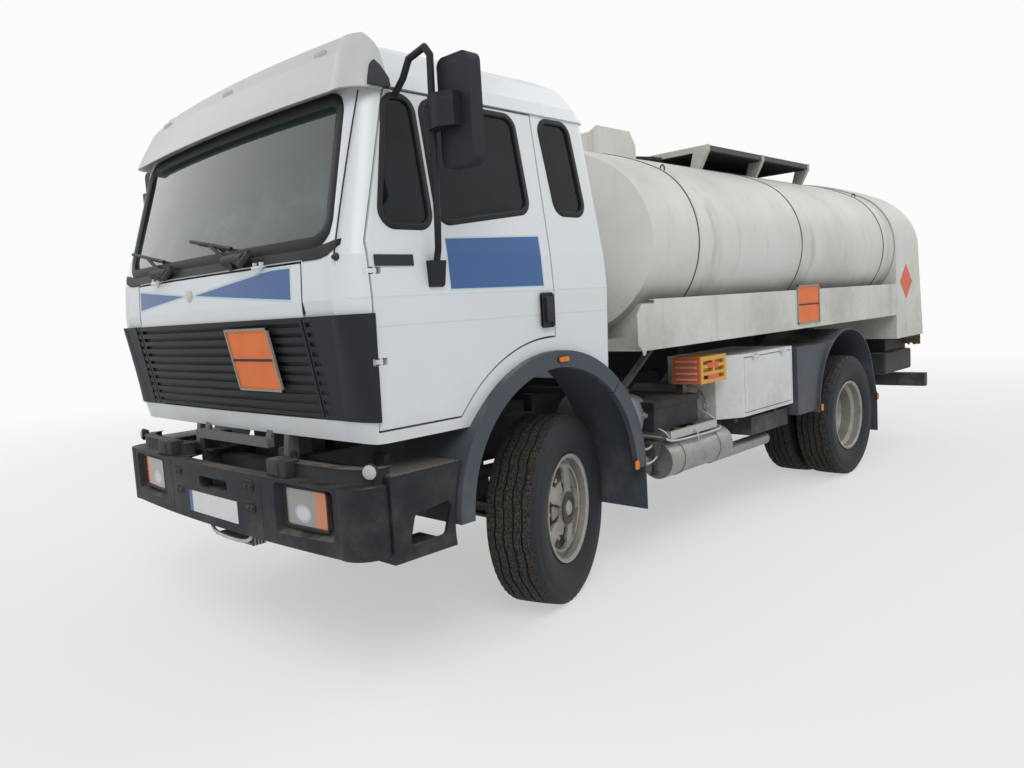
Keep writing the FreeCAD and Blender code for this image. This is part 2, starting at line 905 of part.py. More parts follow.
def grille():
    """Level slats in a rim, standing on the backing."""
    prism = front_plate(rounded([
        (-grille_half_width, grille_bottom),
        (grille_half_width, grille_bottom),
        (grille_half_width, grille_top - seat_gap),
        (-grille_half_width, grille_top - seat_gap),
    ], 14.0), at(-100), at(200))
    layer = shell_layer(cab_sections, -grille_rise, 12 - seat_gap).common(prism)
    half = grille_half_width - grille_bar
    for z0, z1 in grille_slots():
        slot = block((-half, half), (at(-100), at(200)), (z0, z1))
        layer = layer.cut(slot.cut(shell_solid(cab_sections, 4)))
    return [layer]


def corner_panels():
    """Dark panels that carry the grille's slats on to a slanted edge, then run smooth round the corner."""
    layer = shell_layer(cab_sections, -grille_rise, -seat_gap).cut(cab_outer)
    smooth = shell_layer(cab_sections, -corner_panel_rise, -seat_gap).cut(cab_outer)
    bottom, top = grille_bottom - 8, grille_top
    inner = grille_half_width + moving_gap + 2
    found = []
    for side in (1, -1):
        slats = front_plate([
            (side * inner, bottom),
            (side * (corner_slant_bottom + 20), bottom),
            (side * (corner_slant_top + 20), top),
            (side * inner, top),
        ], at(-100), at(200))
        slats = layer.common(slats)
        for z0, z1 in grille_slots():
            slot = block(sorted((side * (inner + 14), side * 1300)), (at(-100), at(200)), (z0, z1))
            slats = slats.cut(slot.cut(corner_backing))
        panel = front_plate([
            (side * corner_slant_bottom, bottom),
            (side * 1300, bottom),
            (side * 1300, top),
            (side * corner_slant_top, top),
        ], at(-100), door_front - 6)
        shape = fused([slats, smooth.common(panel)])
        for cut in hinge_clearance(side):
            shape = shape.cut(cut)
        found += shape.Solids
    return found


def arch_sector(radius, inner, x0, x1, start, end):
    """Part of a ring about the arch's centre, between two angles counted up from straight back."""
    shape = ring((x0, arch_y, arch_z), (x1, arch_y, arch_z), radius, inner)
    reach = 2000.0
    a, b = math.radians(start), math.radians(end)
    middle = (a + b) / 2
    points = [
        (arch_y, arch_z),
        (arch_y + reach * math.cos(a), arch_z + reach * math.sin(a)),
        (arch_y + reach * math.cos(middle) * 1.4, arch_z + reach * math.sin(middle) * 1.4),
        (arch_y + reach * math.cos(b), arch_z + reach * math.sin(b)),
    ]
    return shape.common(side_plate(points, x0 - 1, x1 + 1))


def arch_parts(start, end):
    outer = arch_outer_radius - seat_gap
    found = []
    for side in (1, -1):
        x = sorted((side * arch_inner_x, side * arch_outer_x))
        liner = arch_sector(outer, outer - arch_liner_wall, x[0], x[1], start, end)
        x = sorted((side * arch_lip_x, side * arch_outer_x))
        lip = arch_sector(outer, arch_lip_radius, x[0], x[1], start, end)
        found.append(fused([liner, lip]))
    return found


def cab_flares():
    return arch_parts(arch_split_deg, 180)


def front_mudguards():
    """The rear quarter of each front arch on the chassis, its flap and its stay from the rail."""
    gap_deg = math.degrees(moving_gap / arch_outer_radius)
    found = []
    for side, part in zip((1, -1), arch_parts(0, arch_split_deg - gap_deg)):
        y = arch_y + arch_outer_radius - arch_liner_wall
        x = sorted((side * arch_inner_x, side * arch_outer_x))
        flap = block(x, (y, y + 8), (mudflap_bottom, arch_z + 20))
        stay_x = sorted((side * frame_half_width, side * (arch_inner_x + 60)))
        stay = rod((stay_x[0], y + 16, 860), (stay_x[1], y + 16, 860), 18)
        foot_x = sorted((side * frame_half_width, side * (frame_half_width + 8)))
        foot = block(foot_x, (y - 20, y + 50), (820, 900))
        plate_x = sorted((side * arch_inner_x, side * (arch_inner_x + 60)))
        plate = block(plate_x, (y - 40, y + 30), (840, 880))
        found.append(fused([part, flap, stay, foot, plate]))
    return found


def bumper_layer(outer_inset, inner_inset, z0, z1):
    row = (0.0, bumper_half_width, 900.0)
    outer = Part.makeLoft([shell_ring(z, *row, outer_inset) for z in (z0, z1)], True, True)
    inner = Part.makeLoft([shell_ring(z, *row, inner_inset) for z in (z0 - 1, z1 + 1)], True, True)
    front = block((-1400, 1400), (y_nose - 10, bumper_rear), (z0 - 2, z1 + 2))
    return outer.cut(inner).common(front)


def lamp_prism(side):
    x0, x1 = side * lamp_inner_x, side * lamp_outer_x
    corners = [(x0, lamp_bottom), (x1, lamp_bottom), (x1, lamp_top), (x0, lamp_top)]
    return front_plate(rounded(corners, 20.0), y_nose - 10, y_nose + 170)


def lamp_funnel(side):
    """The flared mouth round a headlamp, wider towards the bumper's end."""
    def ring_at(spread, y):
        x0 = side * (lamp_inner_x - 0.8 * spread)
        x1 = side * (lamp_outer_x + 1.3 * spread)
        z0, z1 = lamp_bottom - 0.6 * spread, lamp_top + 0.25 * spread
        corners = [(x0, z0), (x1, z0), (x1, z1), (x0, z1)]
        return outline(rounded(corners, 30.0), lambda x, z: Vector(x, y, z))
    return Part.makeLoft([ring_at(lamp_funnel_spread, y_nose - 10), ring_at(0, y_nose + 110)], True, True)


def bumper():
    """A bowed beam that wraps round to the steps, with lamp pockets and a towing slot."""
    shape = bumper_layer(0, bumper_wall, bumper_bottom, bumper_top)
    skin = bumper_layer(-1, lamp_depth, lamp_bottom - 20, lamp_top + 20)
    rim = bumper_layer(-1, lamp_recess, bumper_bottom + 10, bumper_top - 10)
    for side in (1, -1):
        shape = shape.cut(lamp_prism(side).common(skin)).cut(lamp_funnel(side).common(rim))
    x0, x1, z0, z1 = tow_slot
    shape = shape.cut(front_plate(rounded([(x0, z0), (x1, z0), (x1, z1), (x0, z1)], 20.0), y_nose - 10, y_nose + 170))
    arms = []
    for side in (1, -1):
        x = sorted((side * (frame_half_width - 40), side * frame_half_width))
        arms.append(block(x, (at(bumper_wall - 20), frame_front), (740, 900)))
    return [fused([shape, *arms])]


def headlamps():
    return [bumper_layer(lamp_recess - 10, lamp_depth - seat_gap, lamp_bottom - 10, lamp_top + 10).common(lamp_prism(side))
            for side in (1, -1)]


def steps():
    """A folded side box with a foot hole through its outer wall and a tread on top, under each door."""
    found = []
    for side in (1, -1):
        x = sorted((side * step_inner_x, side * step_outer_x))
        outer = block(x, (step_front, step_rear), (step_bottom, step_top))
        hollow_x = sorted((side * (step_inner_x - 1), side * (step_outer_x - step_wall)))
        hollow = block(hollow_x, (step_front + step_wall, step_rear + 50), (step_bottom + step_wall, step_top - step_wall))
        hole = side_plate(rounded([
            (at(290), 640),
            (at(500), 645),
            (at(548), 800),
            (at(330), 775),
        ], 24.0), x[0] - 5, x[1] + 5)
        shape = outer.cut(hollow).cut(hole).cut(arch_cut(arch_outer_radius + step_gap, x[0] - 5, x[1] + 5))
        arm_x = sorted((side * frame_half_width, side * (step_inner_x + 30)))
        arm = block(arm_x, (at(300), at(340)), (step_top - 60, step_top - step_wall + 2))
        found.append(fused([shape, arm]))
    return found


def rail(side):
    """A channel with its web outside, open towards the middle."""
    x = sorted((side * (frame_half_width - frame_flange), side * frame_half_width))
    outer = block(x, (frame_front, frame_rear), (frame_top - frame_height, frame_top))
    hollow_x = sorted((side * (frame_half_width - frame_flange - 1), side * (frame_half_width - frame_wall)))
    z = (frame_top - frame_height + frame_wall, frame_top - frame_wall)
    return [outer.cut(block(hollow_x, (frame_front - 1, frame_rear + 1), z))]


member_ys = (250.0, 2100.0, 3400.0, 4700.0, 5800.0, 6900.0)


def crossmembers():
    half = frame_half_width - frame_wall - seat_gap
    z1 = frame_top - frame_wall - seat_gap - 30
    found = []
    for y in member_ys:
        outer = block((-half, half), (at(y), at(y) + member_depth), (z1 - member_height, z1))
        hollow = block((-half - 1, half + 1), (at(y) + 10, at(y) + member_depth + 1), (z1 - member_height + 10, z1 - 10))
        found.append(outer.cut(hollow))
    half = frame_half_width
    plate = block((-half, half), (frame_rear, frame_rear + coupling_plate_wall), (frame_top - frame_height, frame_top))
    for x in (-coupling_spacing_x / 2, coupling_spacing_x / 2):
        for z in (-coupling_spacing_z / 2, coupling_spacing_z / 2):
            place = (x, coupling_plate_z + z)
            plate = plate.cut(rod((place[0], frame_rear - 1, place[1]), (place[0], frame_rear + 40, place[1]), coupling_hole_radius))
    found.append(plate)
    return found


def engine():
    x = (-engine_half_width, engine_half_width)
    shape = block(x, (at(engine_y[0]), at(engine_y[1])), engine_z)
    return [shape.cut(axle_tunnel())]


def axle_tunnel():
    """Room over the front axle's beam under the power unit."""
    y = (y_axle_front - beam_half_width - 30, y_axle_front + beam_half_width + 30)
    return block((-900, 900), y, (300, tyre_radius + 130))


def radiator():
    half = radiator_half_width
    core = block((-half, half), (at(radiator_y[0]), at(radiator_y[1])), radiator_z)
    feet = []
    for side in (1, -1):
        x = sorted((side * half, side * (frame_half_width - frame_wall - seat_gap)))
        feet.append(block(x, (at(radiator_y[0]), at(radiator_y[1])), (frame_top - 100, frame_top - 60)))
    return [fused([core, *feet])]


def engine_mounts():
    found = []
    for y in (engine_y[0] + 150, engine_y[1] - 150):
        for side in (1, -1):
            x = sorted((side * engine_half_width, side * (frame_half_width - frame_wall - seat_gap)))
            found.append(block(x, (at(y) - 40, at(y) + 40), (frame_top - 150, frame_top - 100)))
    return found


def tilt_brackets():
    found = []
    for side in (1, -1):
        x = sorted((side * frame_half_width, side * (tilt_ear_x - 5)))
        lug = block(x, (tilt_pivot_y - 30, tilt_pivot_y + 60), (frame_top - 120, tilt_pivot_z + 32))
        ends = sorted((side * (frame_half_width + 5), side * (tilt_ear_x + tilt_ear_thickness + 8)))
        pin = rod((ends[0], tilt_pivot_y, tilt_pivot_z), (ends[1], tilt_pivot_y, tilt_pivot_z), tilt_pin_radius)
        found.append(fused([lug, pin]))
    return found


def cab_rest():
    """The cradle behind the power unit that the tilted cab comes down on."""
    y = (at(1690), at(1755))
    z1 = seat_floor_z - seat_gap
    bar = block((-620, 620), y, (z1 - 90, z1 - 30))
    pieces = [bar]
    for side in (1, -1):
        x = sorted((side * (frame_half_width - 60), side * frame_half_width))
        pieces.append(block(x, y, (frame_top, z1 - 90)))
        pad = sorted((side * 520, side * 610))
        pieces.append(block(pad, y, (z1 - 30, z1)))
    return [fused(pieces)]


def leaf_pack(y, z_top, count, half_length, x):
    """Stacked leaves, each shorter than the one above."""
    leaves = []
    for i in range(count):
        share = 1 - 0.8 * i / count
        half = half_length * share
        z = (z_top - (i + 1) * leaf_thickness, z_top - i * leaf_thickness)
        leaves.append(block((x - spring_width / 2, x + spring_width / 2), (y - half, y + half), z))
    return leaves


beam_top = tyre_radius - beam_drop + beam_height / 2


def front_springs():
    found = []
    z_top = frame_top - frame_height - 20
    for side in (1, -1):
        x = side * spring_x
        leaves = leaf_pack(y_axle_front, z_top, 4, spring_half_length, x)
        low = z_top - 4 * leaf_thickness
        seat = block((x - 45, x + 45), (y_axle_front - 60, y_axle_front + 60), (beam_top + seat_gap, low))
        hangers = []
        for end in (-spring_half_length, spring_half_length - 40):
            across = sorted((side * frame_half_width, side * (spring_x + 38)))
            hangers.append(block(across, (y_axle_front + end, y_axle_front + end + 40), (z_top, frame_top - 60)))
        found.append(fused([*leaves, seat, *hangers]))
    return found


def front_axle():
    """A drop beam between two kingpin eyes."""
    z = tyre_radius
    eye_x = kingpin_x
    low = z - beam_drop
    half = beam_half_width
    y = (y_axle_front - half, y_axle_front + half)
    profile = [
        (-eye_x, z - 45),
        (-eye_x + 160, low - beam_height / 2),
        (eye_x - 160, low - beam_height / 2),
        (eye_x, z - 45),
        (eye_x, z + 45),
        (eye_x - 130, z + 45),
        (eye_x - 300, low + beam_height / 2),
        (-eye_x + 300, low + beam_height / 2),
        (-eye_x + 130, z + 45),
        (-eye_x, z + 45),
    ]
    beam = front_plate(profile, *y)
    web = front_plate([(-eye_x + 330, low - 28), (eye_x - 330, low - 28), (eye_x - 330, low + 28), (-eye_x + 330, low + 28)],
                      y_axle_front - half - 1, y_axle_front - 10)
    back = web.mirror(Vector(0, y_axle_front, 0), Vector(0, 1, 0))
    shape = beam.cut(web).cut(back)
    for side in (1, -1):
        x = side * eye_x
        eye = rod((x, y_axle_front, z - boss_half_height), (x, y_axle_front, z + boss_half_height), boss_radius)
        beyond = sorted((side * (eye_x - 5), side * (eye_x + 200)))
        shape = shape.cut(block(beyond, (y_axle_front - 200, y_axle_front + 200), (300, 800)))
        shape = fused([shape, eye])
        bore = rod((x, y_axle_front, z - 200), (x, y_axle_front, z + 200), kingpin_radius + running_gap)
        shape = shape.cut(bore)
    return [shape]


def turned_about(shape, x, y, degrees):
    shape = shape.copy()
    shape.rotate(Vector(x, y, 0), Vector(0, 0, 1), degrees)
    return shape


def knuckle(side):
    """A yoke above and below the eye, the kingpin, the wheel's spindle and the steering arm."""
    x, y, z = side * kingpin_x, y_axle_front, tyre_radius
    yoke_gap = boss_half_height + 1.0
    lug = 34.0
    plate_x = boss_radius + 8
    pieces = [rod((x, y, z - yoke_gap - lug), (x, y, z + yoke_gap + lug), kingpin_radius)]
    for z0 in (z - yoke_gap - lug, z + yoke_gap):
        pieces.append(rod((x, y, z0), (x, y, z0 + lug), boss_radius - 6))
        arm_x = sorted((x, x + side * (plate_x + 16)))
        pieces.append(block(arm_x, (y - 40, y + 40), (z0, z0 + lug)))
    wall_x = sorted((x + side * plate_x, x + side * (plate_x + 16)))
    pieces.append(block(wall_x, (y - 60, y + 60), (z - yoke_gap - lug, z + yoke_gap + lug)))
    spindle_end = wheel_offset + 70
    pieces.append(rod((x + side * plate_x, y, z), (x + side * spindle_end, y, z), front_spindle_radius))
    arm_z = z - yoke_gap - lug
    toe = -side * 30
    pin_x, pin_y = x + toe, y + steering_arm
    pieces.append(block(sorted((x - 20, x + 20)), (y, y + steering_arm), (arm_z, arm_z + 26)).cut(
        rod((x, y, arm_z - 1), (x, y, arm_z + 30), kingpin_radius - 2)))
    return pieces


def ball_place(side):
    return side * kingpin_x, y_axle_front + steering_arm


def knuckle_solid(side):
    pieces = knuckle(side)
    x, y = ball_place(side)
    yoke_gap = boss_half_height + 1.0
    arm_z = tyre_radius - yoke_gap - 34.0
    pad = rod((x, y, arm_z), (x, y, arm_z + 26), 30)
    pin = rod((x, y, arm_z - 40), (x, y, arm_z), ball_pin_radius)
    shape = fused([*pieces, pad, pin])
    return [turned_about(shape, side * kingpin_x, y_axle_front, rest_steer_deg)]


def tie_rod():
    """The track rod that ties both steering arms, with an eye at each end."""
    yoke_gap = boss_half_height + 1.0
    arm_z = tyre_radius - yoke_gap - 34.0
    places = []
    for side in (1, -1):
        turn = math.radians(rest_steer_deg)
        x = side * kingpin_x - steering_arm * math.sin(turn)
        y = y_axle_front + steering_arm * math.cos(turn)
        places.append((x, y))
    z = arm_z - 22
    shape = rod((places[0][0], places[0][1], z), (places[1][0], places[1][1], z), tie_rod_radius)
    for (x, y), gap in zip(places, (running_gap, 1.0)):
        eye = rod((x, y, z - 14), (x, y, z + 14), 30)
        shape = fused([shape, eye])
    for (x, y), gap in zip(places, (running_gap, 1.0)):
        shape = shape.cut(rod((x, y, z - 40), (x, y, z + 40), ball_pin_radius + gap))
    return [shape]


def tyre_profile():
    """Bead to bead: sidewalls that bulge past the rim, a flat tread and a hollow inside."""
    foot = rim_width / 2 - 12.6
    wide, tread = tyre_width / 2, tread_width / 2
    wall = 32.0
    return [
        (-foot, bead_radius + seat_gap),
        (-foot, flange_radius + 4),
        (-wide, sidewall_radius, -tread - 4, tyre_radius - 22),
        (-tread + 8, tyre_radius - 4),
        (0, tyre_radius, tread - 8, tyre_radius - 4),
        (tread + 4, tyre_radius - 22),
        (wide, sidewall_radius, foot, flange_radius + 4),
        (foot, bead_radius + seat_gap),
        (foot - 44, bead_radius + seat_gap),
        (wide - wall, sidewall_radius, tread - wall, tyre_radius - 42),
        (-tread + wall, tyre_radius - 42),
        (-wide + wall, sidewall_radius, -foot + 44, bead_radius + seat_gap),
    ]


def rim_profile():
    half = rim_width / 2
    wall = rim_wall
    outer = [
        (-half, flange_radius),
        (-half + 8, flange_radius),
        (-half + 12, bead_radius),
        (-half + 66, bead_radius),
        (-half + 86, rim_well_radius),
        (half - 86, rim_well_radius),
        (half - 66, bead_radius),
        (half - 12, bead_radius),
        (half - 8, flange_radius),
        (half, flange_radius),
    ]
    inner = [
        (half, bead_radius),
        (half - 10, bead_radius - wall),
        (half - 62, bead_radius - wall),
        (half - 84, rim_well_radius - wall),
        (-half + 84, rim_well_radius - wall),
        (-half + 62, bead_radius - wall),
        (-half + 10, bead_radius - wall),
        (-half, bead_radius),
    ]
    return outer + inner


hand_hole_radius = 24.0
hand_hole_circle = 205.0
disc_wall = 12.0


def disc_profile(face, root):
    """A wheel disc: flat where it bolts on, then a cone out to the rim's well."""
    radius = rim_well_radius - rim_wall + 4
    return [
        (face, hub_radius - 2),
        (face, 195),
        (root, radius),
        (root - disc_wall * 1.6, radius),
        (face - disc_wall, 200),
        (face - disc_wall, hub_radius - 2),
    ]


def wheel(disc_face, disc_root, hub, drum, spindle_radius, closed):
    """Rim, disc, hub and brake drum about the wheel's own X axis, with the outer side positive."""
    pieces = [turned(rim_profile()), turned(disc_profile(disc_face, disc_root))]
    holes = []
    for i in range(nut_count):
        angle = 2 * math.pi * (i + 0.5) / nut_count
        y, z = hand_hole_circle * math.cos(angle), hand_hole_circle * math.sin(angle)
        holes.append(rod((-500, y, z), (300, y, z), hand_hole_radius))
    shape = fused(pieces)
    for hole in holes:
        shape = shape.cut(hole)
    hub_start, hub_end = hub
    pieces = [shape, rod((hub_start, 0, 0), (hub_end, 0, 0), hub_radius)]
    drum_start, drum_end = drum
    pieces.append(rod((drum_end - 12, 0, 0), (drum_end, 0, 0), drum_radius).cut(rod((drum_end - 20, 0, 0), (drum_end + 20, 0, 0), hub_radius - 4)))
    pieces.append(ring((drum_start, 0, 0), (drum_end, 0, 0), drum_radius, drum_radius - 12))
    shape = fused(pieces)
    bore_end = hub_end - closed
    return shape.cut(rod((hub_start - 50, 0, 0), (bore_end, 0, 0), spindle_radius + running_gap))


def placed(shape, side, x, y, z):
    """A wheel or tyre put on its axle: its outer side faces away from the truck's middle."""
    shape = shape.copy()
    if side < 0:
        shape = shape.mirror(Vector(0, 0, 0), Vector(1, 0, 0))
    shape.translate(Vector(side * x, y, z))
    return shape


def front_place(shape, side):
    shape = placed(shape, side, kingpin_x + wheel_offset, y_axle_front, tyre_radius)
    return turned_about(shape, side * kingpin_x, y_axle_front, rest_steer_deg)


def rim_front(side):
    face = 40.0
    hub = (4.0, 112.0)
    shape = wheel(face, 30.0, hub, (-36.0, face - disc_wall), front_spindle_radius, 30.0)
    return [front_place(shape, side)]


def rim_rear(side):
    offset = twin_spacing / 2
    shape = wheel(-offset + disc_wall, -38.0, (-offset - 60, -30.0), (-offset - 150, -offset - 14.0), rear_spindle_radius, 30.0)
    inner = turned(rim_profile(), -twin_spacing)
    disc = turned([(-offset - seat_gap, hub_radius + 8), (-offset - seat_gap, 200), (-twin_spacing + 60, 252),
                   (-twin_spacing + 40, 252), (-offset - disc_wall, 195), (-offset - disc_wall, hub_radius + 8)])
    shape = fused([shape, inner, disc, ring((-offset - 14, 0, 0), (-offset + 1, 0, 0), 190, hub_radius - 2)])
    return [placed(shape, side, rear_outer_centre, y_axle_rear, tyre_radius)]


def tyre_front(side):
    return [front_place(turned(tyre_profile()), side)]


def tyre_rear(side):
    outer = turned(tyre_profile())
    inner = turned(tyre_profile(), -twin_spacing)
    return [placed(shape, side, rear_outer_centre, y_axle_rear, tyre_radius) for shape in (outer, inner)]


def rear_axle():
    """A tube with the final drive's bowl in its middle and a spindle in each hub."""
    z = tyre_radius
    offset = twin_spacing / 2
    inboard = rear_outer_centre - offset - 160
    end = rear_outer_centre - 75
    profile = [
        (-end, 0),
        (-end, rear_spindle_radius),
        (-inboard, rear_spindle_radius),
        (-inboard, rear_tube_radius),
        (-pumpkin_radius - 30, rear_tube_radius),
        (0, pumpkin_radius, pumpkin_radius + 30, rear_tube_radius),
        (inboard, rear_tube_radius),
        (inboard, rear_spindle_radius),
        (end, rear_spindle_radius),
        (end, 0),
    ]
    shape = turned(profile)
    shape.translate(Vector(0, y_axle_rear, z))
    nose = rod((0, y_axle_rear - 330, z), (0, y_axle_rear - 60, z), 90)
    return [fused([shape, nose])]


def rear_springs():
    found = []
    z_top = frame_top - frame_height - 5
    for side in (1, -1):
        x = side * spring_x
        leaves = leaf_pack(y_axle_rear, z_top, 5, spring_half_length + 50, x)
        low = z_top - 5 * leaf_thickness
        seat = block((x - 45, x + 45), (y_axle_rear - 70, y_axle_rear + 70), (tyre_radius + 40, low))
        seat = seat.cut(rod((-700, y_axle_rear, tyre_radius), (700, y_axle_rear, tyre_radius), rear_tube_radius + seat_gap))
        hangers = []
        for end in (-spring_half_length - 50, spring_half_length + 10):
            across = sorted((side * frame_half_width, side * (spring_x + 38)))
            hangers.append(block(across, (y_axle_rear + end, y_axle_rear + end + 40), (z_top, frame_top - 60)))
        found.append(fused([*leaves, seat, *hangers]))
    return found


# Tank

def oval(rise, y):
    """The tank's section: a shallow top and bottom joined by rounder sides."""
    a, b, r = tank_half_width + rise, tank_half_height + rise, tank_side_radius + rise
    centre_x = a - r
    big = (centre_x ** 2 + b ** 2 - r ** 2) / (2 * (b - r))
    lean = math.atan2(centre_x, big - b)
    join_x, join_z = centre_x + r * math.sin(lean), r * math.cos(lean)
    points = [
        (-join_x, join_z),
        (0, b, join_x, join_z),
        (a, 0, join_x, -join_z),
        (0, -b, -join_x, -join_z),
        (-a, 0, -join_x, join_z),
    ]
    return outline(points, lambda x, z: Vector(x, y, tank_z + z))


def oval_prism(rise, y0, y1):
    return Part.Face(oval(rise, y0)).extrude(Vector(0, y1 - y0, 0))


def tank_shell():
    """The closed vessel with a dished front and its seam bands."""
    body = oval_prism(0, tank_front, tank_rear)
    dish = Part.makeSphere(tank_dish_radius, Vector(0, tank_front + tank_dish_radius, tank_z))
    dish = dish.fuse(rod((0, tank_front + tank_dish_radius, tank_z), (0, tank_rear + 10, tank_z), tank_dish_radius))
    body = body.common(dish)
    bands = [oval_prism(band_rise, y, y + band_width).cut(oval_prism(-10, y - 1, y + band_width + 1)) for y in band_ys]
    return [fused([body, *bands])]


def subframe():
    """Two long bearers on the rails and the saddles that the tank lies in."""
    vessel = oval_prism(seat_gap, tank_front - 10, tank_rear + 10)
    z = (frame_top, frame_top + subframe_height)
    pieces = []
    for side in (1, -1):
        x = sorted((side * (frame_half_width - subframe_width), side * frame_half_width))
        pieces.append(block(x, (subframe_front, subframe_rear), z))
        x = sorted((side * (frame_half_width - subframe_width), side * front_bearer_end))
        pieces.append(block(x, (front_bearer_y, front_bearer_y + front_bearer_width), (z[1] - 2, z[1] + front_bearer_width)))
        x = sorted((side * strut_foot_x, side * (strut_foot_x + strut_width)))
        low, high = z[1] + front_bearer_width, tray_bottom - seat_gap
        points = [
            (front_bearer_y, low - 2),
            (front_bearer_y + strut_width, low - 2),
            (front_bearer_y + strut_run + strut_width, high),
            (front_bearer_y + strut_run, high),
        ]
        pieces.append(side_plate(points, *x))
    for y in saddle_ys:
        profile = [
            (-frame_half_width, z[0] + 20),
            (frame_half_width, z[0] + 20),
            (saddle_half_width, z[1] + 120),
            (saddle_half_width, tank_z - 400),
            (-saddle_half_width, tank_z - 400),
            (-saddle_half_width, z[1] + 120),
        ]
        pieces.append(front_plate(profile, y, y + saddle_wall).cut(vessel))
    return [fused(pieces)]


casing_front = tank_rear - 20.0


def trays():
    """A folded hose tray each side, stepped at its front, with gussets that reach the tank."""
    vessel = oval_prism(seat_gap, tank_front - 10, tank_rear + 500)
    found = []
    x0, x1 = tray_inner_x, tray_outer_x
    wall = [
        (tray_front + tray_step, tray_top),
        (tray_rear, tray_top),
        (tray_rear, tray_bottom),
        (tray_front + 80, tray_bottom),
        (tray_front + 66, tray_bottom - 26),
        (tray_front + 48, tray_bottom - 26),
        (tray_front + 42, tray_bottom),
        (tray_front, tray_bottom + 36),
        (tray_front, tray_top - 84),
        (tray_front + 50, tray_top - 26),
        (tray_front + tray_step, tray_top - 26),
    ]
    outer = side_plate(wall, x1 - tray_wall, x1)
    floor = block((x0, x1), (tray_front + 42, tray_rear), (tray_bottom, tray_bottom + tray_wall))
    inner = block((x0, x0 + tray_wall), (tray_front + 42, tray_rear), (tray_bottom, tray_bottom + tray_inner_lip))
    end = block((x0, x1), (tray_rear - tray_wall, tray_rear), (tray_bottom, tray_bottom + tray_inner_lip))
    lip = block((x1 - 40, x1), (tray_front + tray_step, tray_rear), (tray_top - tray_wall, tray_top))
    pieces = [outer, floor, inner, end, lip]
    for y in tray_bracket_ys:
        profile = [(600, tray_bottom), (x0, tray_bottom), (x0, tray_bottom + tray_wall), (x1 - tray_wall, tray_bottom + tray_wall),
                   (x1 - tray_wall, tray_top - 20), (1080, tray_top - 20), (600, tray_bottom + 70)]
        pieces.append(front_plate(profile, y, y + tray_bracket_wall).cut(vessel))
    shape = fused(pieces)
    return both([shape])


def casing_profile(inset):
    """The tail casing from the side: a raked back that rolls over into the tank's top."""
    top = tank_z + tank_half_height + casing_rise - inset
    low = casing_bottom + inset
    slope = (casing_rear_low - casing_rear_high) / (casing_waist - casing_bottom)
    foot_y = casing_rear_low - slope * inset - inset
    waist_y = casing_rear_high - inset
    crown_y = waist_y - casing_roll
    return [
        (casing_front + (inset if inset else 0), low),
        (foot_y, low),
        (waist_y, casing_waist),
        (waist_y - 70, casing_waist + 330, crown_y, top),
        (casing_front + (inset if inset else 0), top),
    ]


def casing_section(inset):
    """The same casing from behind: straight sides up to the tank's waist, then the tank's own curve."""
    rise = casing_rise - inset
    a, b, r = tank_half_width + rise, tank_half_height + rise, tank_side_radius + rise
    centre_x = a - r
    big = (centre_x ** 2 + b ** 2 - r ** 2) / (2 * (b - r))
    lean = math.atan2(centre_x, big - b)
    join_x, join_z = centre_x + r * math.sin(lean), tank_z + r * math.cos(lean)
    turn = (math.pi / 2 + lean) / 2
    mid_x, mid_z = centre_x + r * math.sin(turn), tank_z + r * math.cos(turn)
    low = casing_bottom + inset
    return [
        (-a, low),
        (a, low),
        (a, tank_z),
        (mid_x, mid_z, join_x, join_z),
        (0, tank_z + b, -join_x, join_z),
        (-mid_x, mid_z, -a, tank_z),
    ]


def casing_solid(inset):
    profile = side_plate(casing_profile(inset), -1400, 1400)
    section = front_plate(casing_section(inset), casing_front - 50, y_tail)
    return profile.common(section)


def hatch_prism(gap):
    corners = [
        (hatch_right - gap, hatch_bottom - gap),
        (hatch_left + gap, hatch_bottom - gap),
        (hatch_left + gap, hatch_top + gap),
        (hatch_right - gap, hatch_top + gap),
    ]
    return front_plate(rounded(corners, 40.0), casing_rear_high - 150, y_tail)


def hatch_slab(thickness):
    """The casing's raked rear skin, down to a depth."""
    slope = (casing_rear_low - casing_rear_high) / (casing_waist - casing_bottom)
    points = [
        (casing_rear_low, casing_bottom),
        (casing_rear_high, casing_waist),
        (casing_rear_high - thickness, casing_waist),
        (casing_rear_low - thickness, casing_bottom),
    ]
    return side_plate(points, -1400, 1400)


def tail_casing():
    shape = casing_solid(0).cut(casing_solid(casing_wall))
    shape = shape.cut(hatch_prism(moving_gap))
    vessel = oval_prism(band_rise + seat_gap, tank_front, tank_rear + seat_gap)
    shape = shape.cut(vessel)
    pieces = [shape]
    for fixed, moving, bore in hatch_hinges():
        pieces += fixed
    return fused(pieces).Solids


def hatch_axis():
    slope = (casing_rear_low - casing_rear_high) / (casing_waist - casing_bottom)
    z = hatch_top + moving_gap / 2
    return casing_rear_high + slope * (casing_waist - z) + hatch_axis_out, z


def hatch_hinges():
    y, z = hatch_axis()
    back = y - hatch_axis_out
    fixed_block = ((back - 18, y), (z, z + 34))
    moving_block = ((back - 14, y), (z - 34, z))
    return [level_hinge(x, y, z, 12.0, 7.0, fixed_block, moving_block) for x in hatch_hinge_xs]


def tail_hatch():
    pieces = [hatch_slab(hatch_thickness).common(hatch_prism(0))]
    for fixed, moving, bore in hatch_hinges():
        pieces += moving
    shape = fused(pieces)
    for fixed, moving, bore in hatch_hinges():
        shape = shape.cut(bore)
    return [shape]


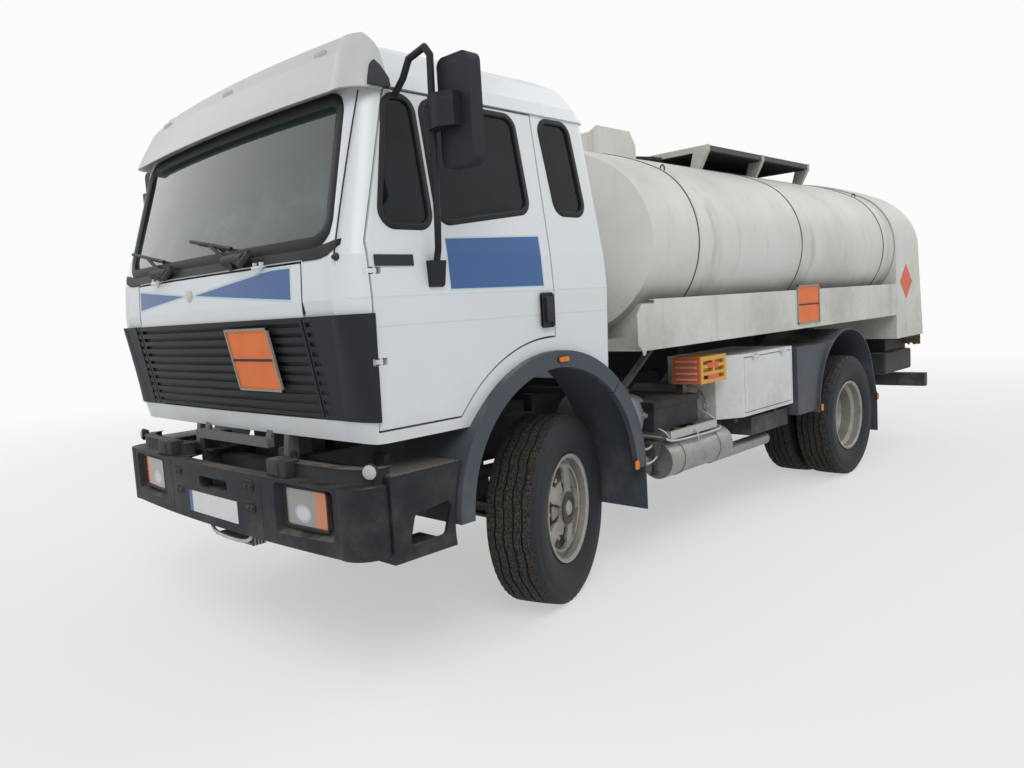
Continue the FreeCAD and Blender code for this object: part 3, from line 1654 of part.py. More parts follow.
def ladder():
    """Two stiles and rungs on the back of the casing, beside the hatch."""
    slope = (casing_rear_low - casing_rear_high) / (casing_waist - casing_bottom)
    pieces = []
    low_z, high_z = casing_bottom + 40, casing_waist + 120

    def back(z):
        return casing_rear_high + slope * (casing_waist - z) + ladder_standoff

    for x in ladder_xs:
        pieces.append(rod((x, back(low_z), low_z), (x, back(high_z), high_z), ladder_tube))
        for z in (low_z + 60, casing_waist - 90):
            pieces.append(rod((x, back(z) - ladder_standoff - 30, z), (x, back(z), z), 10))
    z = low_z + 90
    while z < high_z:
        pieces.append(rod((ladder_xs[0], back(z), z), (ladder_xs[1], back(z), z), ladder_tube * 0.8))
        z += rung_pitch
    return [fused(pieces).cut(casing_solid(0))]


def walkway():
    """A barred deck beside the crown of the tank on three brackets."""
    vessel = oval_prism(seat_gap, tank_front, tank_rear + 400)
    x0, x1 = walk_inner_x, walk_outer_x
    y0, y1 = walk_front, walk_rear
    frame = block((x0, x1), (y0, y1), (walk_z, walk_z + walk_frame))
    frame = frame.cut(block((x0 + 12, x1 - 12), (y0 + 12, y1 - 12), (walk_z - 1, walk_z + walk_frame + 1)))
    pieces = [frame]
    pitch = (x1 - x0) / (walk_bar_count + 1)
    for i in range(walk_bar_count):
        x = x0 + pitch * (i + 1)
        pieces.append(block((x - walk_bar / 2, x + walk_bar / 2), (y0 + 5, y1 - 5), (walk_z + 10, walk_z + walk_frame)))
    for share in (0.0, 0.5, 1.0):
        y = y0 + (y1 - y0 - walk_strap) * share
        profile = [
            (x0, walk_z - 80),
            (x0 + walk_strap, walk_z - 80),
            (x0 + walk_strap, walk_z - 4),
            (x1 - 3 * walk_strap, walk_z - 4),
            (x1 - 5 * walk_strap, walk_z - 300),
            (x1 - 4 * walk_strap, walk_z - 300),
            (x1 + 4, walk_z - 4),
            (x1 + 4, walk_z + walk_frame + 4),
            (x1, walk_z + walk_frame + 4),
            (x1, walk_z + 4),
            (x0, walk_z + 4),
        ]
        pieces.append(front_plate(profile, y, y + walk_strap).cut(vessel))
    return [fused(pieces)]


def dome_box():
    """An open box round the manhole that stops spills and guards the lid."""
    vessel = oval_prism(seat_gap, tank_front, tank_rear)
    half = dome_half_width
    profile = [
        (dome_front, 2500),
        (dome_rear, 2500),
        (dome_rear, dome_top - 100),
        (dome_rear - 70, dome_top),
        (dome_front + 90, dome_top),
        (dome_front, dome_top - 60),
    ]
    outer = side_plate(profile, -half, half)
    inner = block((-half + dome_wall, half - dome_wall), (dome_front + dome_wall, dome_rear - dome_wall), (2400, 3000))
    return [outer.cut(inner).cut(vessel)]


def neck_y():
    return (dome_front + dome_rear) / 2


def manhole_neck():
    """A flanged neck on the tank's crown with the lid's hinge ears."""
    vessel = oval_prism(seat_gap, tank_front, tank_rear)
    y = neck_y()
    neck = ring((0, y, 2500), (0, y, neck_top), neck_radius, neck_radius - neck_wall)
    pieces = [neck.cut(vessel)]
    for offset in (-70, 70):
        ear = block((lid_hinge_x - 14, -neck_radius + neck_wall + 2), (y + offset - 12, y + offset + 12), (neck_top - 60, neck_top - 4))
        post = block((lid_hinge_x - 14, lid_hinge_x + 14), (y + offset - 12, y + offset + 12), (neck_top - 60, lid_hinge_z + 14))
        pieces += [ear.cut(rod((0, y, 2500), (0, y, 2900), neck_radius - 4)), post]
    pin = rod((lid_hinge_x, y - 82, lid_hinge_z), (lid_hinge_x, y + 82, lid_hinge_z), lid_pin_radius)
    return [fused([*pieces, pin])]


def manhole_lid():
    y = neck_y()
    z0 = neck_top + seat_gap
    disc = rod((0, y, z0), (0, y, z0 + lid_thickness), lid_radius)
    ears = block((lid_hinge_x, -lid_radius + 40), (y - 45, y + 45), (z0, z0 + lid_thickness))
    eye = rod((lid_hinge_x, y - 45, lid_hinge_z), (lid_hinge_x, y + 45, lid_hinge_z), 16)
    knob = rod((0, y, z0 + lid_thickness - 2), (0, y, z0 + lid_thickness + 26), 50)
    shape = fused([disc, ears, eye, knob])
    for offset in (-70, 70):
        shape = shape.cut(block((lid_hinge_x - 30, lid_hinge_x + 30), (y + offset - 18, y + offset + 18), (neck_top - 80, lid_hinge_z + 40)))
    pin = rod((lid_hinge_x, y - 100, lid_hinge_z), (lid_hinge_x, y + 100, lid_hinge_z), lid_pin_radius + running_gap)
    return [shape.cut(pin)]


def rear_mudguards():
    """One curved sheet over each pair of rear tyres, a rubber flap and stays from the rail."""
    centre = (0.0, 640.0)

    def inward(point):
        away = math.hypot(point[0] - centre[0], point[1] - centre[1])
        share = 1 - guard_wall / away
        return centre[0] + (point[0] - centre[0]) * share, centre[1] + (point[1] - centre[1]) * share

    p = [(y_axle_rear + y, z) for y, z in guard_points]
    q = [inward(point) for point in guard_points]
    q = [(y_axle_rear + y, z) for y, z in q]
    profile = [p[0], (*p[1], *p[2]), (*p[3], *p[4]), p[5], q[5], q[4], (*q[3], *q[2]), (*q[1], *q[0])]
    found = []
    for side in (1, -1):
        x = sorted((side * guard_inner_x, side * guard_outer_x))
        sheet = side_plate(profile, *x)
        flap = block(x, (p[5][0] - 4, p[5][0] + 4), (guard_flap_bottom, p[5][1] + 20))
        box_x = sorted((side * (guard_inner_x + 150), side * (guard_outer_x - 25)))
        box = side_plate([(y_axle_rear + y, z) for y, z in guard_box_points], *box_x)
        pieces = [sheet, flap, box]
        for y, z in ((-500.0, 930.0), (455.0, 900.0)):
            ends = sorted((side * frame_half_width, side * (guard_inner_x + 40)))
            pieces.append(rod((ends[0], y_axle_rear + y, z - 20), (ends[1], y_axle_rear + y, z - 20), 20))
        found.append(fused(pieces))
    return found


def underrun():
    """The bar across the tail on two plates from the rails."""
    y1 = y_tail
    y0 = y1 - underrun_depth
    half = underrun_half_width
    shape = block((-half, half), (y0, y1), (underrun_bottom, underrun_top))
    for side in (1, -1):
        x = sorted((side * tail_lamp_inner_x, side * tail_lamp_outer_x))
        z = (underrun_bottom + tail_lamp_margin, underrun_top - tail_lamp_margin)
        shape = shape.cut(block(x, (y1 - tail_lamp_depth, y1 + 1), z))
    pieces = [shape]
    for side in (1, -1):
        x = sorted((side * frame_half_width, side * (frame_half_width + 14)))
        points = [
            (frame_rear - 260, frame_top - frame_height),
            (frame_rear - 40, frame_top - frame_height),
            (y0 + 40, underrun_top),
            (y0 + 5, underrun_bottom),
            (y0 - 60, underrun_bottom),
            (frame_rear - 260, frame_top - frame_height - 60),
        ]
        foot = [(frame_rear - 260, frame_top - 20), (frame_rear, frame_top - 20), (y0 + 5, underrun_top - 5),
                (y0 + 5, underrun_bottom + 5), (y0 - 60, underrun_bottom + 5)]
        pieces.append(side_plate(foot, *x))
    return [fused(pieces)]


def tail_lamps():
    found = []
    for side in (1, -1):
        x = sorted((side * (tail_lamp_inner_x + seat_gap), side * (tail_lamp_outer_x - seat_gap)))
        z = (underrun_bottom + tail_lamp_margin + seat_gap, underrun_top - tail_lamp_margin - seat_gap)
        found.append(block(x, (y_tail - tail_lamp_depth, y_tail - 2), z))
    return found


# Side equipment

def side_arms():
    """Bearers from the rail: driver's side then fuel tank side, with the dark box behind the locker."""
    top = battery_z[0]
    rows = (
        (air_tanks[0][0] - arm_width / 2, 1000.0, air_tanks[0][1] - air_tanks[0][2]),
        (2520.0, silencer_x + 30, top),
        (2840.0, silencer_x + 30, top),
        (air_tanks[1][0] - arm_width / 2, 960.0, air_tanks[1][1] - air_tanks[1][2]),
        (locker_y[0] + 150, 1140.0, locker_z[0]),
        (locker_y[1] - 200, 1140.0, locker_z[0]),
    )
    found = []
    for y, x1, z1 in rows:
        z1 -= seat_gap
        found.append(block((frame_half_width, x1), (at(y), at(y) + arm_width), (z1 - arm_height, z1)))
    hung = silencer_z + silencer_radius - 12
    tube = rod((silencer_x, at(2300), silencer_z), (silencer_x, at(3300), silencer_z), silencer_radius + seat_gap)
    for y in (2520.0, 2840.0):
        post = block((silencer_x - 20, silencer_x + 20), (at(y), at(y) + arm_width), (hung, top - arm_height))
        found.append(post.cut(tube))
    pocket = block((900, 1140), (at(locker_y[1] - 570), at(locker_y[1] + 25)), (600, locker_z[0] - arm_height))
    return fused([*found, pocket]).Solids


def battery_box():
    x, y, z = battery_x, (at(battery_y[0]), at(battery_y[1])), battery_z
    base = block(x, y, (z[0], z[1] - 40))
    lid = block((x[0] - 8, x[1] + 8), (y[0] - 8, y[1] + 8), (z[1] - 40, z[1]))
    return [fused([base, lid])]


def air_reservoirs():
    """Domed air tanks across the truck."""
    found = []
    for y, z, radius, x0, x1 in air_tanks:
        dome = radius * 0.35
        big = (radius ** 2 + dome ** 2) / (2 * dome)
        body = rod((x0, at(y), z), (x1, at(y), z), radius)
        middle = rod((x0 + dome, at(y), z), (x1 - dome, at(y), z), radius)
        pieces = [middle]
        for centre, end in ((x0 + big, (x0, x0 + dome + 1)), (x1 - big, (x1 - dome - 1, x1))):
            cap = Part.makeSphere(big, Vector(centre, at(y), z))
            pieces.append(cap.common(block(end, (at(y) - 300, at(y) + 300), (z - 300, z + 300))))
        found.append(fused(pieces).common(body))
    return found


def silencer():
    """The exhaust's drum, its end pipe and a bent lead-in."""
    y0, y1 = at(silencer_y[0]), at(silencer_y[1])
    drum = rod((silencer_x, y0, silencer_z), (silencer_x, y1, silencer_z), silencer_radius)
    bands = []
    for y in (y0 + 150, y1 - 170):
        bands.append(rod((silencer_x, y, silencer_z), (silencer_x, y + 30, silencer_z), silencer_radius + 5))
    pipe_x = silencer_x - 60
    tail = rod((pipe_x, y1 - 40, exhaust_z), (pipe_x, at(exhaust_end), exhaust_z), exhaust_radius)
    tail = tail.cut(rod((pipe_x, at(exhaust_end) - 120, exhaust_z), (pipe_x, at(exhaust_end) + 1, exhaust_z), exhaust_radius - 4))
    lead = rod((silencer_x - 40, y0 - 60, silencer_z + 20), (silencer_x - 40, y0 + 5, silencer_z + 20), exhaust_radius)
    across = rod((frame_half_width + 60, y0 - 60, silencer_z + 20), (silencer_x - 40, y0 - 60, silencer_z + 20), exhaust_radius)
    elbow = Part.makeSphere(exhaust_radius, Vector(silencer_x - 40, y0 - 60, silencer_z + 20))
    shape = fused([drum, *bands, tail, lead, across, elbow])
    return [shape.cut(side_arm_solid)]


def locker():
    """A hollow tool locker with a chamfered front end, open towards its door."""
    x, z = locker_x, locker_z
    y = (at(locker_y[0]), at(locker_y[1]))
    c = locker_chamfer
    corners = [(x[0], y[0]), (x[1] - c, y[0]), (x[1], y[0] + 170), (x[1], y[1]), (x[0], y[1])]
    outer = plan_plate(corners, *z)
    w = locker_wall
    inner = [(x[0] + w, y[0] + w), (x[1] - c - 6, y[0] + w), (x[1] - w, y[0] + 170 + 4), (x[1] - w, y[1] - w), (x[0] + w, y[1] - w)]
    shape = outer.cut(plan_plate(inner, z[0] + w, z[1] - w))
    pieces = [shape.cut(locker_door_block(locker_door_gap, 60))]
    for fixed, moving, bore in locker_hinges():
        pieces += fixed
    return [fused(pieces)]


def locker_axis():
    return locker_x[1] + locker_axis_out, locker_z[1] - 30 + locker_door_gap / 2


def locker_hinges():
    """Level hinges turned to lie along the truck, on the locker's outer side."""
    x, z = locker_axis()
    face = x - locker_axis_out
    fixed_block = ((face - 6, x), (z, z + 22))
    moving_block = ((face - 8, x), (z - 24, z))
    found = []
    door_y = (locker_y[0] + 200, locker_y[1] - 25)
    for share in locker_hinge_shares:
        y = door_y[0] + share * (door_y[1] - door_y[0])
        hinge = level_hinge(0.0, x, z, 9.0, 5.0, fixed_block, moving_block)
        placed_parts = []
        for shapes in (hinge[0], hinge[1], [hinge[2]]):
            moved = []
            for piece in shapes:
                piece = piece.mirror(Vector(0, 0, 0), Vector(-1, 1, 0))
                piece.translate(Vector(0, at(y), 0))
                moved.append(piece)
            placed_parts.append(moved)
        found.append((placed_parts[0], placed_parts[1], placed_parts[2][0]))
    return found


def locker_door_block(gap, depth):
    x1 = locker_x[1]
    y = (at(locker_y[0]) + 200 - gap, at(locker_y[1]) - 25 + gap)
    z = (locker_z[0] + 30 - gap, locker_z[1] - 30 + gap)
    return block((x1 - depth, x1), y, z)


def locker_door():
    """The locker's door, hung from its top edge."""
    pieces = [locker_door_block(0, locker_wall)]
    for fixed, moving, bore in locker_hinges():
        pieces += moving
    shape = fused(pieces)
    for fixed, moving, bore in locker_hinges():
        shape = shape.cut(bore)
    return [shape]


def signal_rack():
    """A slotted box on a post above the battery."""
    x, y, z = rack_x, (at(rack_y[0]), at(rack_y[1])), rack_z
    shape = block(x, y, z)
    for i in range(3):
        z0 = z[0] + 28 + i * 48
        for j in range(2):
            y0 = y[0] + 30 + j * 145
            shape = shape.cut(block((x[1] - 30, x[1] + 1), (y0, y0 + 125), (z0, z0 + 26)))
    post = block((x[0] + 10, x[0] + 60), (y[0] + 30, y[0] + 80), (battery_z[1], z[0]))
    return [fused([shape, post])]


def fuel_tank():
    """A rounded box on two brackets under straps, on the passenger's side."""
    x, z = fuel_x, fuel_z
    corners = rounded([(-x[1], z[0]), (-x[0], z[0]), (-x[0], z[1]), (-x[1], z[1])], fuel_corner)
    shape = front_plate(corners, at(fuel_y[0]), at(fuel_y[1]))
    cap = rod((-x[1] + 130, at(fuel_y[0]) + 200, z[1] - 5), (-x[1] + 130, at(fuel_y[0]) + 200, z[1] + 45), 55)
    return [fused([shape, cap])]


def fuel_brackets():
    found = []
    x, z = fuel_x, fuel_z
    for y in (fuel_y[0] + 220, fuel_y[1] - 280):
        inner = -x[0] + seat_gap
        upright = block((inner, -frame_half_width), (at(y), at(y) + 60), (z[0] + 60, frame_top - 30))
        shelf = block((-x[1] + 60, inner + 10), (at(y), at(y) + 60), (z[0] - 40 - seat_gap, z[0] - seat_gap))
        knee = block((inner, inner + 60), (at(y), at(y) + 60), (z[0] - 40 - seat_gap, z[0] + 80))
        found.append(fused([upright, shelf, knee]))
    return found


def wipers():
    """Two arms parked along the foot of the windscreen."""
    found = []
    for x, reach in ((330.0, 430.0), (-430.0, 430.0)):
        y = at(46)
        z = 1935
        hub = rod((x, at(40), 1915), (x, at(100), 1935), 24)
        arm = rod((x, at(52), 1925), (x - reach * 0.6, at(78), 2040), 9)
        blade = rod((x - reach * 0.05, at(70), 2000), (x - reach * 1.15, at(96), 2080), 9)
        found.append(fused([hub, arm, blade]).cut(cab_outer))
    return found


cab_floor_solid = cab_floor()[0]
side_arm_solid = Part.makeCompound(side_arms())

NODES = {
    "cab_front": cab_front,
    "cab_back": lambda: cab_side(1) + cab_side(-1) + cab_rear(),
    "cab_roof": cab_roof,
    "cab_floor": lambda: [cab_floor_solid] + seat_plinths(),
    "visor": visor,
    "cab_glass": lambda: windscreen_glass() + cab_glass(),
    "corner_panels": corner_panels,
    "cab_flares": cab_flares,
    "wipers": wipers,
    "dashboard": lambda: dashboard() + steering_wheel(),
    "seats": seats,
    "bunk": bunk,
    "flap_panel": flap_panel,
    "grille": grille,
    "door_left": lambda: door(1) + handle(1),
    "door_glass_left": lambda: door_glass(1),
    "mirror_left": lambda: mirror(1),
    "door_right": lambda: door(-1) + handle(-1),
    "door_glass_right": lambda: door_glass(-1),
    "mirror_right": lambda: mirror(-1),
    "rail_left": lambda: rail(1),
    "rail_right": lambda: rail(-1),
    "crossmembers": lambda: crossmembers() + tilt_brackets() + cab_rest(),
    "power_unit": lambda: engine() + engine_mounts() + radiator(),
    "bumper": bumper,
    "lamps": lambda: headlamps() + tail_lamps(),
    "steps": steps,
    "mudguards": lambda: front_mudguards() + rear_mudguards(),
    "springs": lambda: front_springs() + rear_springs(),
    "axles": lambda: front_axle() + rear_axle(),
    "underrun": underrun,
    "side_arms": lambda: side_arm_solid.Solids + fuel_brackets(),
    "battery_box": battery_box,
    "air_tanks": air_reservoirs,
    "silencer": silencer,
    "locker": locker,
    "locker_door": locker_door,
    "signal_rack": signal_rack,
    "fuel_tank": fuel_tank,
    "tank_shell": tank_shell,
    "subframe": subframe,
    "trays": trays,
    "tail_casing": tail_casing,
    "tail_hatch": tail_hatch,
    "walkway": lambda: walkway() + ladder(),
    "dome_box": lambda: dome_box() + manhole_neck(),
    "manhole_lid": manhole_lid,
    "knuckle_left": lambda: knuckle_solid(1),
    "knuckle_right": lambda: knuckle_solid(-1),
    "tie_rod": tie_rod,
    "rim_front_left": lambda: rim_front(1),
    "rim_front_right": lambda: rim_front(-1),
    "tyre_front_left": lambda: tyre_front(1),
    "tyre_front_right": lambda: tyre_front(-1),
    "rim_rear_left": lambda: rim_rear(1),
    "rim_rear_right": lambda: rim_rear(-1),
    "tyre_rear_left": lambda: tyre_rear(1),
    "tyre_rear_right": lambda: tyre_rear(-1),
}

os.makedirs("parts", exist_ok=True)
for name, make in NODES.items():
    solids = [solid for shape in make() for solid in shape.Solids]
    Part.makeCompound(solids).exportStep("parts/" + name + ".step")
    valid = all(solid.isValid() for solid in solids)
    print(name, len(solids), "solids", "valid" if valid else "INVALID", round(sum(s.Volume for s in solids) / 1e6, 2))
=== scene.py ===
import bpy, bmesh, json, math, random
from mathutils import Vector, Matrix
from mathutils.bvhtree import BVHTree


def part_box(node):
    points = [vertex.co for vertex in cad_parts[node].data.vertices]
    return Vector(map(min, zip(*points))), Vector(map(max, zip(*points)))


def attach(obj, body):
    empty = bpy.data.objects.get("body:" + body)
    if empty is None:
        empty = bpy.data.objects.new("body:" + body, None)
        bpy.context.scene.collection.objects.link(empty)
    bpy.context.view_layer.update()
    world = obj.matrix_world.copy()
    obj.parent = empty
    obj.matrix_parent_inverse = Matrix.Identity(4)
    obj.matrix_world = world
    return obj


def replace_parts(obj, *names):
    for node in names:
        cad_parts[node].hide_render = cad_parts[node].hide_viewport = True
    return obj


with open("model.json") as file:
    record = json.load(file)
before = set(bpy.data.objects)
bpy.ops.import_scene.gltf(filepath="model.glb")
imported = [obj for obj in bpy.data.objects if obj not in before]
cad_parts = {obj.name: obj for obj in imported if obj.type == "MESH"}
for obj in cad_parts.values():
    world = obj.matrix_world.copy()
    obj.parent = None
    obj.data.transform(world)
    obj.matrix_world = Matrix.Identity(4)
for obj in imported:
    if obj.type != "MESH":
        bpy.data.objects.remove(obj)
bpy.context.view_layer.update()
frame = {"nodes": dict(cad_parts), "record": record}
nodes = frame["nodes"]
scene = bpy.context.scene
random.seed(7)
print("frame loaded")

noseY = -3.695  # everything that the truck's length places counts from the nose
axleFront, axleRear, tailY = -2.255, 1.545, 3.695


def at(v):
    return noseY + v


# shader wires
class Wire:  # one socket's value, with the sums that the finishes need
    def __init__(self, tree, out):
        self.tree, self.out = tree, out

    def sum(self, kind, a, b=None, clamp=False):
        n = self.tree.nodes.new("ShaderNodeMath")
        n.operation, n.use_clamp = kind, clamp
        for i, v in enumerate((a, b)):
            if isinstance(v, Wire):
                self.tree.links.new(v.out, n.inputs[i])
            elif v is not None:
                n.inputs[i].default_value = v
        return Wire(self.tree, n.outputs[0])

    def __add__(self, o): return self.sum("ADD", self, o)
    def __radd__(self, o): return self.sum("ADD", o, self)
    def __sub__(self, o): return self.sum("SUBTRACT", self, o)
    def __rsub__(self, o): return self.sum("SUBTRACT", o, self)
    def __mul__(self, o): return self.sum("MULTIPLY", self, o)
    def __rmul__(self, o): return self.sum("MULTIPLY", o, self)
    def __truediv__(self, o): return self.sum("DIVIDE", self, o)
    def __gt__(self, o): return self.sum("GREATER_THAN", self, o)
    def __lt__(self, o): return self.sum("LESS_THAN", self, o)
    def __abs__(self): return self.sum("ABSOLUTE", self)
    def power(self, o): return self.sum("POWER", self, o)
    def least(self, o): return self.sum("MINIMUM", self, o)
    def most(self, o): return self.sum("MAXIMUM", self, o)
    def within(self): return self.sum("ADD", self, 0.0, True)


class Finish:  # a material, its node method, and the places that its patterns read
    def __init__(self, name, **fixed):
        self.material = bpy.data.materials.new(name)
        self.material.use_nodes = True
        self.tree = self.material.node_tree
        self.shader = self.tree.nodes["Principled BSDF"]
        for socket, value in fixed.items():
            self.shader.inputs[socket.replace("_", " ")].default_value = value
        point = self.tree.nodes.new("ShaderNodeTexCoord")
        self.point = Wire(self.tree, point.outputs["Object"])
        parts = self.node("ShaderNodeSeparateXYZ", {}, {"Vector": self.point}, None)
        self.x, self.y, self.z = (Wire(self.tree, parts.outputs[i]) for i in range(3))
        facing = self.node("ShaderNodeSeparateXYZ", {}, {"Vector": Wire(self.tree, point.outputs["Normal"])}, None)
        self.outX, self.outY, self.up = (Wire(self.tree, facing.outputs[i]) for i in range(3))

    def node(self, kind, settings, sockets, result=0):
        n = self.tree.nodes.new(kind)
        for key, value in settings.items():
            if key == "stops":
                while len(n.color_ramp.elements) > 1:
                    n.color_ramp.elements.remove(n.color_ramp.elements[0])
                for i, (place, tone) in enumerate(value):
                    e = n.color_ramp.elements[0] if i == 0 else n.color_ramp.elements.new(place)
                    e.position, e.color = place, tone if len(tone) == 4 else (*tone, 1)
            else:
                setattr(n, key, value)
        for key, value in sockets.items():
            if isinstance(value, Wire):
                self.tree.links.new(value.out, n.inputs[key])
            else:
                n.inputs[key].default_value = value
        return n if result is None else Wire(self.tree, n.outputs[result])

    def noise(self, scale, detail=4.0, rough=0.55, place=None):
        return self.node("ShaderNodeTexNoise", {}, {"Vector": place or self.point, "Scale": scale, "Detail": detail, "Roughness": rough})

    def stretched(self, factors):
        return self.node("ShaderNodeVectorMath", {"operation": "MULTIPLY"}, {0: self.point, 1: factors})

    def step(self, value, low, high):  # 0 below low, 1 above high, smooth between
        return self.node("ShaderNodeMapRange", {"interpolation_type": "SMOOTHSTEP"},
                         {"Value": value, "From Min": low, "From Max": high, "To Min": 0.0, "To Max": 1.0})

    def mix(self, mask, a, b):
        n = self.node("ShaderNodeMix", {"data_type": "RGBA"}, {}, None)
        for key, value in ((0, mask), (6, a), (7, b)):
            if isinstance(value, Wire):
                self.tree.links.new(value.out, n.inputs[key])
            else:
                n.inputs[key].default_value = value if key == 0 else (*value[:3], 1)
        return Wire(self.tree, n.outputs[2])

    def feed(self, socket, wire):
        self.tree.links.new(wire.out, self.shader.inputs[socket])

    def bump(self, height, strength=0.3, distance=0.002):
        self.feed("Normal", self.node("ShaderNodeBump", {}, {"Height": height, "Strength": strength, "Distance": distance}))


def between(f, value, low, high, soft=0.002):
    return f.step(value, low - soft, low + soft) * (1 - f.step(value, high - soft, high + soft))


def paint(name, colour, dust=(0.36, 0.33, 0.28), rough=0.32, dirt=0.5, low=0.9, streak=0.3, fixed=None):
    # painted sheet: a faint patchiness, dust that gathers low down and on ledges, thin runs of rain dirt
    f = Finish(name, **(fixed or {}))
    patch = f.noise(2.1, 5)
    fine = f.noise(34, 6, 0.65)
    runs = f.noise(1.0, 5, 0.6, f.stretched((16, 16, 0.9)))
    base = f.mix(patch * 0.35, colour, tuple(c * 0.88 for c in colour))
    rain = f.step(runs, 0.55, 0.80) * streak
    base = f.mix(rain * (0.4 + 0.6 * fine), base, tuple(c * 0.62 for c in colour))
    ground = (1 - f.step(f.z, low - 0.45, low + 0.5)) * f.step(f.noise(3.4, 6, 0.7) + fine * 0.3, 0.42, 0.85)
    ledge = f.step(f.up, 0.55, 0.95) * f.step(f.noise(6, 5, 0.6), 0.35, 0.7)
    grime = (ground.most(ledge * 0.7) * dirt).within()
    return f, base, grime, dust, fine, rough


def finishPaint(made, coat=0.35):
    f, base, grime, dust, fine, rough = made
    f.feed("Base Color", f.mix(grime, base, dust))
    f.feed("Roughness", (rough + 0.12 * fine + 0.4 * grime).within())
    f.shader.inputs["Coat Weight"].default_value = coat
    f.shader.inputs["Coat Roughness"].default_value = 0.12
    f.bump(fine, 0.05, 0.001)
    return f.material


def cabPaint():
    f, base, grime, dust, fine, rough = paint("cabWhite", (0.70, 0.725, 0.735), dust=(0.50, 0.48, 0.44), rough=0.3, dirt=0.45, low=1.12, streak=0.12)
    blue = f.mix(fine * 0.4, (0.018, 0.085, 0.260), (0.030, 0.115, 0.310))
    light = (0.50, 0.62, 0.66)
    # the blue panel on each door, its top sloping down to the rear
    along = f.y - noseY
    side = f.step(abs(f.x), 1.14, 1.15) * f.step(abs(f.outX), 0.5, 0.6)
    panelTop = 1.968 + (along - 0.63) * 0.035
    def doorPatch(grow):
        return between(f, along, 0.635 - grow, 1.265 + grow) * between(f, f.z - 1.742 + grow, 0, 1, 0.002) * (1 - f.step(f.z - panelTop - grow, -0.002, 0.002)) * side
    # the two wedges across the nose, thin at the middle
    flat = f.step(f.outY * -1, 0.5, 0.6)
    def wedge(grow):
        nearLean = (f.x + 0.090) / 0.860
        near = between(f, f.x, -0.090 - grow * 3, 0.790 + grow) * f.step(f.z - 1.797 + nearLean * 0.062 + grow, -0.002, 0.002)
        near = near * (1 - f.step(f.z - (1.797 + (nearLean * 0.086).least(0.074)) - grow, -0.002, 0.002))
        farLean = (-0.215 - f.x) / 0.640
        far = between(f, f.x, -0.850 - grow, -0.215 + grow * 3) * f.step(f.z - 1.800 + farLean * 0.052 + grow, -0.002, 0.002)
        far = far * (1 - f.step(f.z - 1.800 - farLean * 0.052 - grow, -0.002, 0.002))
        return (near + far) * flat
    base = f.mix(doorPatch(0.008) + wedge(0.011), base, light)
    base = f.mix(doorPatch(0.0) + wedge(0.0), base, blue)
    # painted shade: a grey line along the crease across doors and flap
    creaseShade = between(f, f.z, 1.593, 1.599, 0.002) + between(f, f.z, 1.717, 1.722, 0.002)
    base = f.mix(creaseShade * 0.22 * side, base, (0.3, 0.3, 0.3))
    return finishPaint((f, base, grime, dust, fine, rough), 0.2)


def mouldedPlastic(name, colour, dusty=0.5, grain=420, low=0.9, rough=0.5):
    f = Finish(name)
    grainy = f.noise(grain, 2)
    patch = f.noise(3.0, 6, 0.65)
    scuff = f.step(f.noise(1.0, 6, 0.7, f.stretched((5, 5, 40))), 0.62, 0.72)
    base = f.mix(patch * 0.6, colour, tuple(min(1, c * 1.7 + 0.01) for c in colour))
    base = f.mix(scuff * 0.25, base, tuple(min(1, c * 2.2 + 0.04) for c in colour))
    lying = f.step(f.up, 0.5, 0.95) * f.step(f.noise(5, 6, 0.65), 0.36, 0.62)
    ground = (1 - f.step(f.z, low - 0.4, low + 0.35)) * f.step(patch, 0.42, 0.75)
    grime = (lying.most(ground * 0.6) * dusty).within()
    f.feed("Base Color", f.mix(grime, base, (0.34, 0.29, 0.22)))
    f.feed("Roughness", (rough + 0.14 * patch + 0.3 * grime).within())
    f.shader.inputs["Specular IOR Level"].default_value = 0.22
    f.bump(grainy, 0.14, 0.0008)
    return f.material


def darkGlass(name):
    # side glass nearly black, with faint painted reflections; the windscreen greener, with soft pale painted
    # reflections, dark along its top
    f = Finish(name, Roughness=0.04, IOR=1.45)
    smear = f.noise(2.5, 5, 0.6)
    # painted reflections: soft pale shapes laid into the glass colour
    paleReflections = f.step(f.noise(1.6, 5, 0.6, f.stretched((0.8, 1, 1.5))), 0.40, 0.68)
    front = f.step(f.outY * -1, 0.5, 0.6)
    lower = 1 - f.step(f.z + 0.10 * smear, 2.16, 2.46)
    screen = f.mix(paleReflections * 0.75 * lower, (0.022, 0.034, 0.037), (0.150, 0.190, 0.188))
    screen = f.mix(lower * 0.25, screen, (0.11, 0.14, 0.14))
    sideTone = f.mix(paleReflections * 0.5, (0.007, 0.010, 0.013), (0.022, 0.030, 0.036))
    f.feed("Base Color", f.mix(front, sideTone, screen))
    f.feed("Alpha", (0.74 + 0.12 * front + 0.10 * smear + 0.1 * (1 - lower) * front).within())
    f.feed("Roughness", 0.03 + 0.08 * f.step(f.noise(9, 6, 0.7), 0.5, 0.8))
    f.shader.inputs["Specular IOR Level"].default_value = 0.32
    return f.material


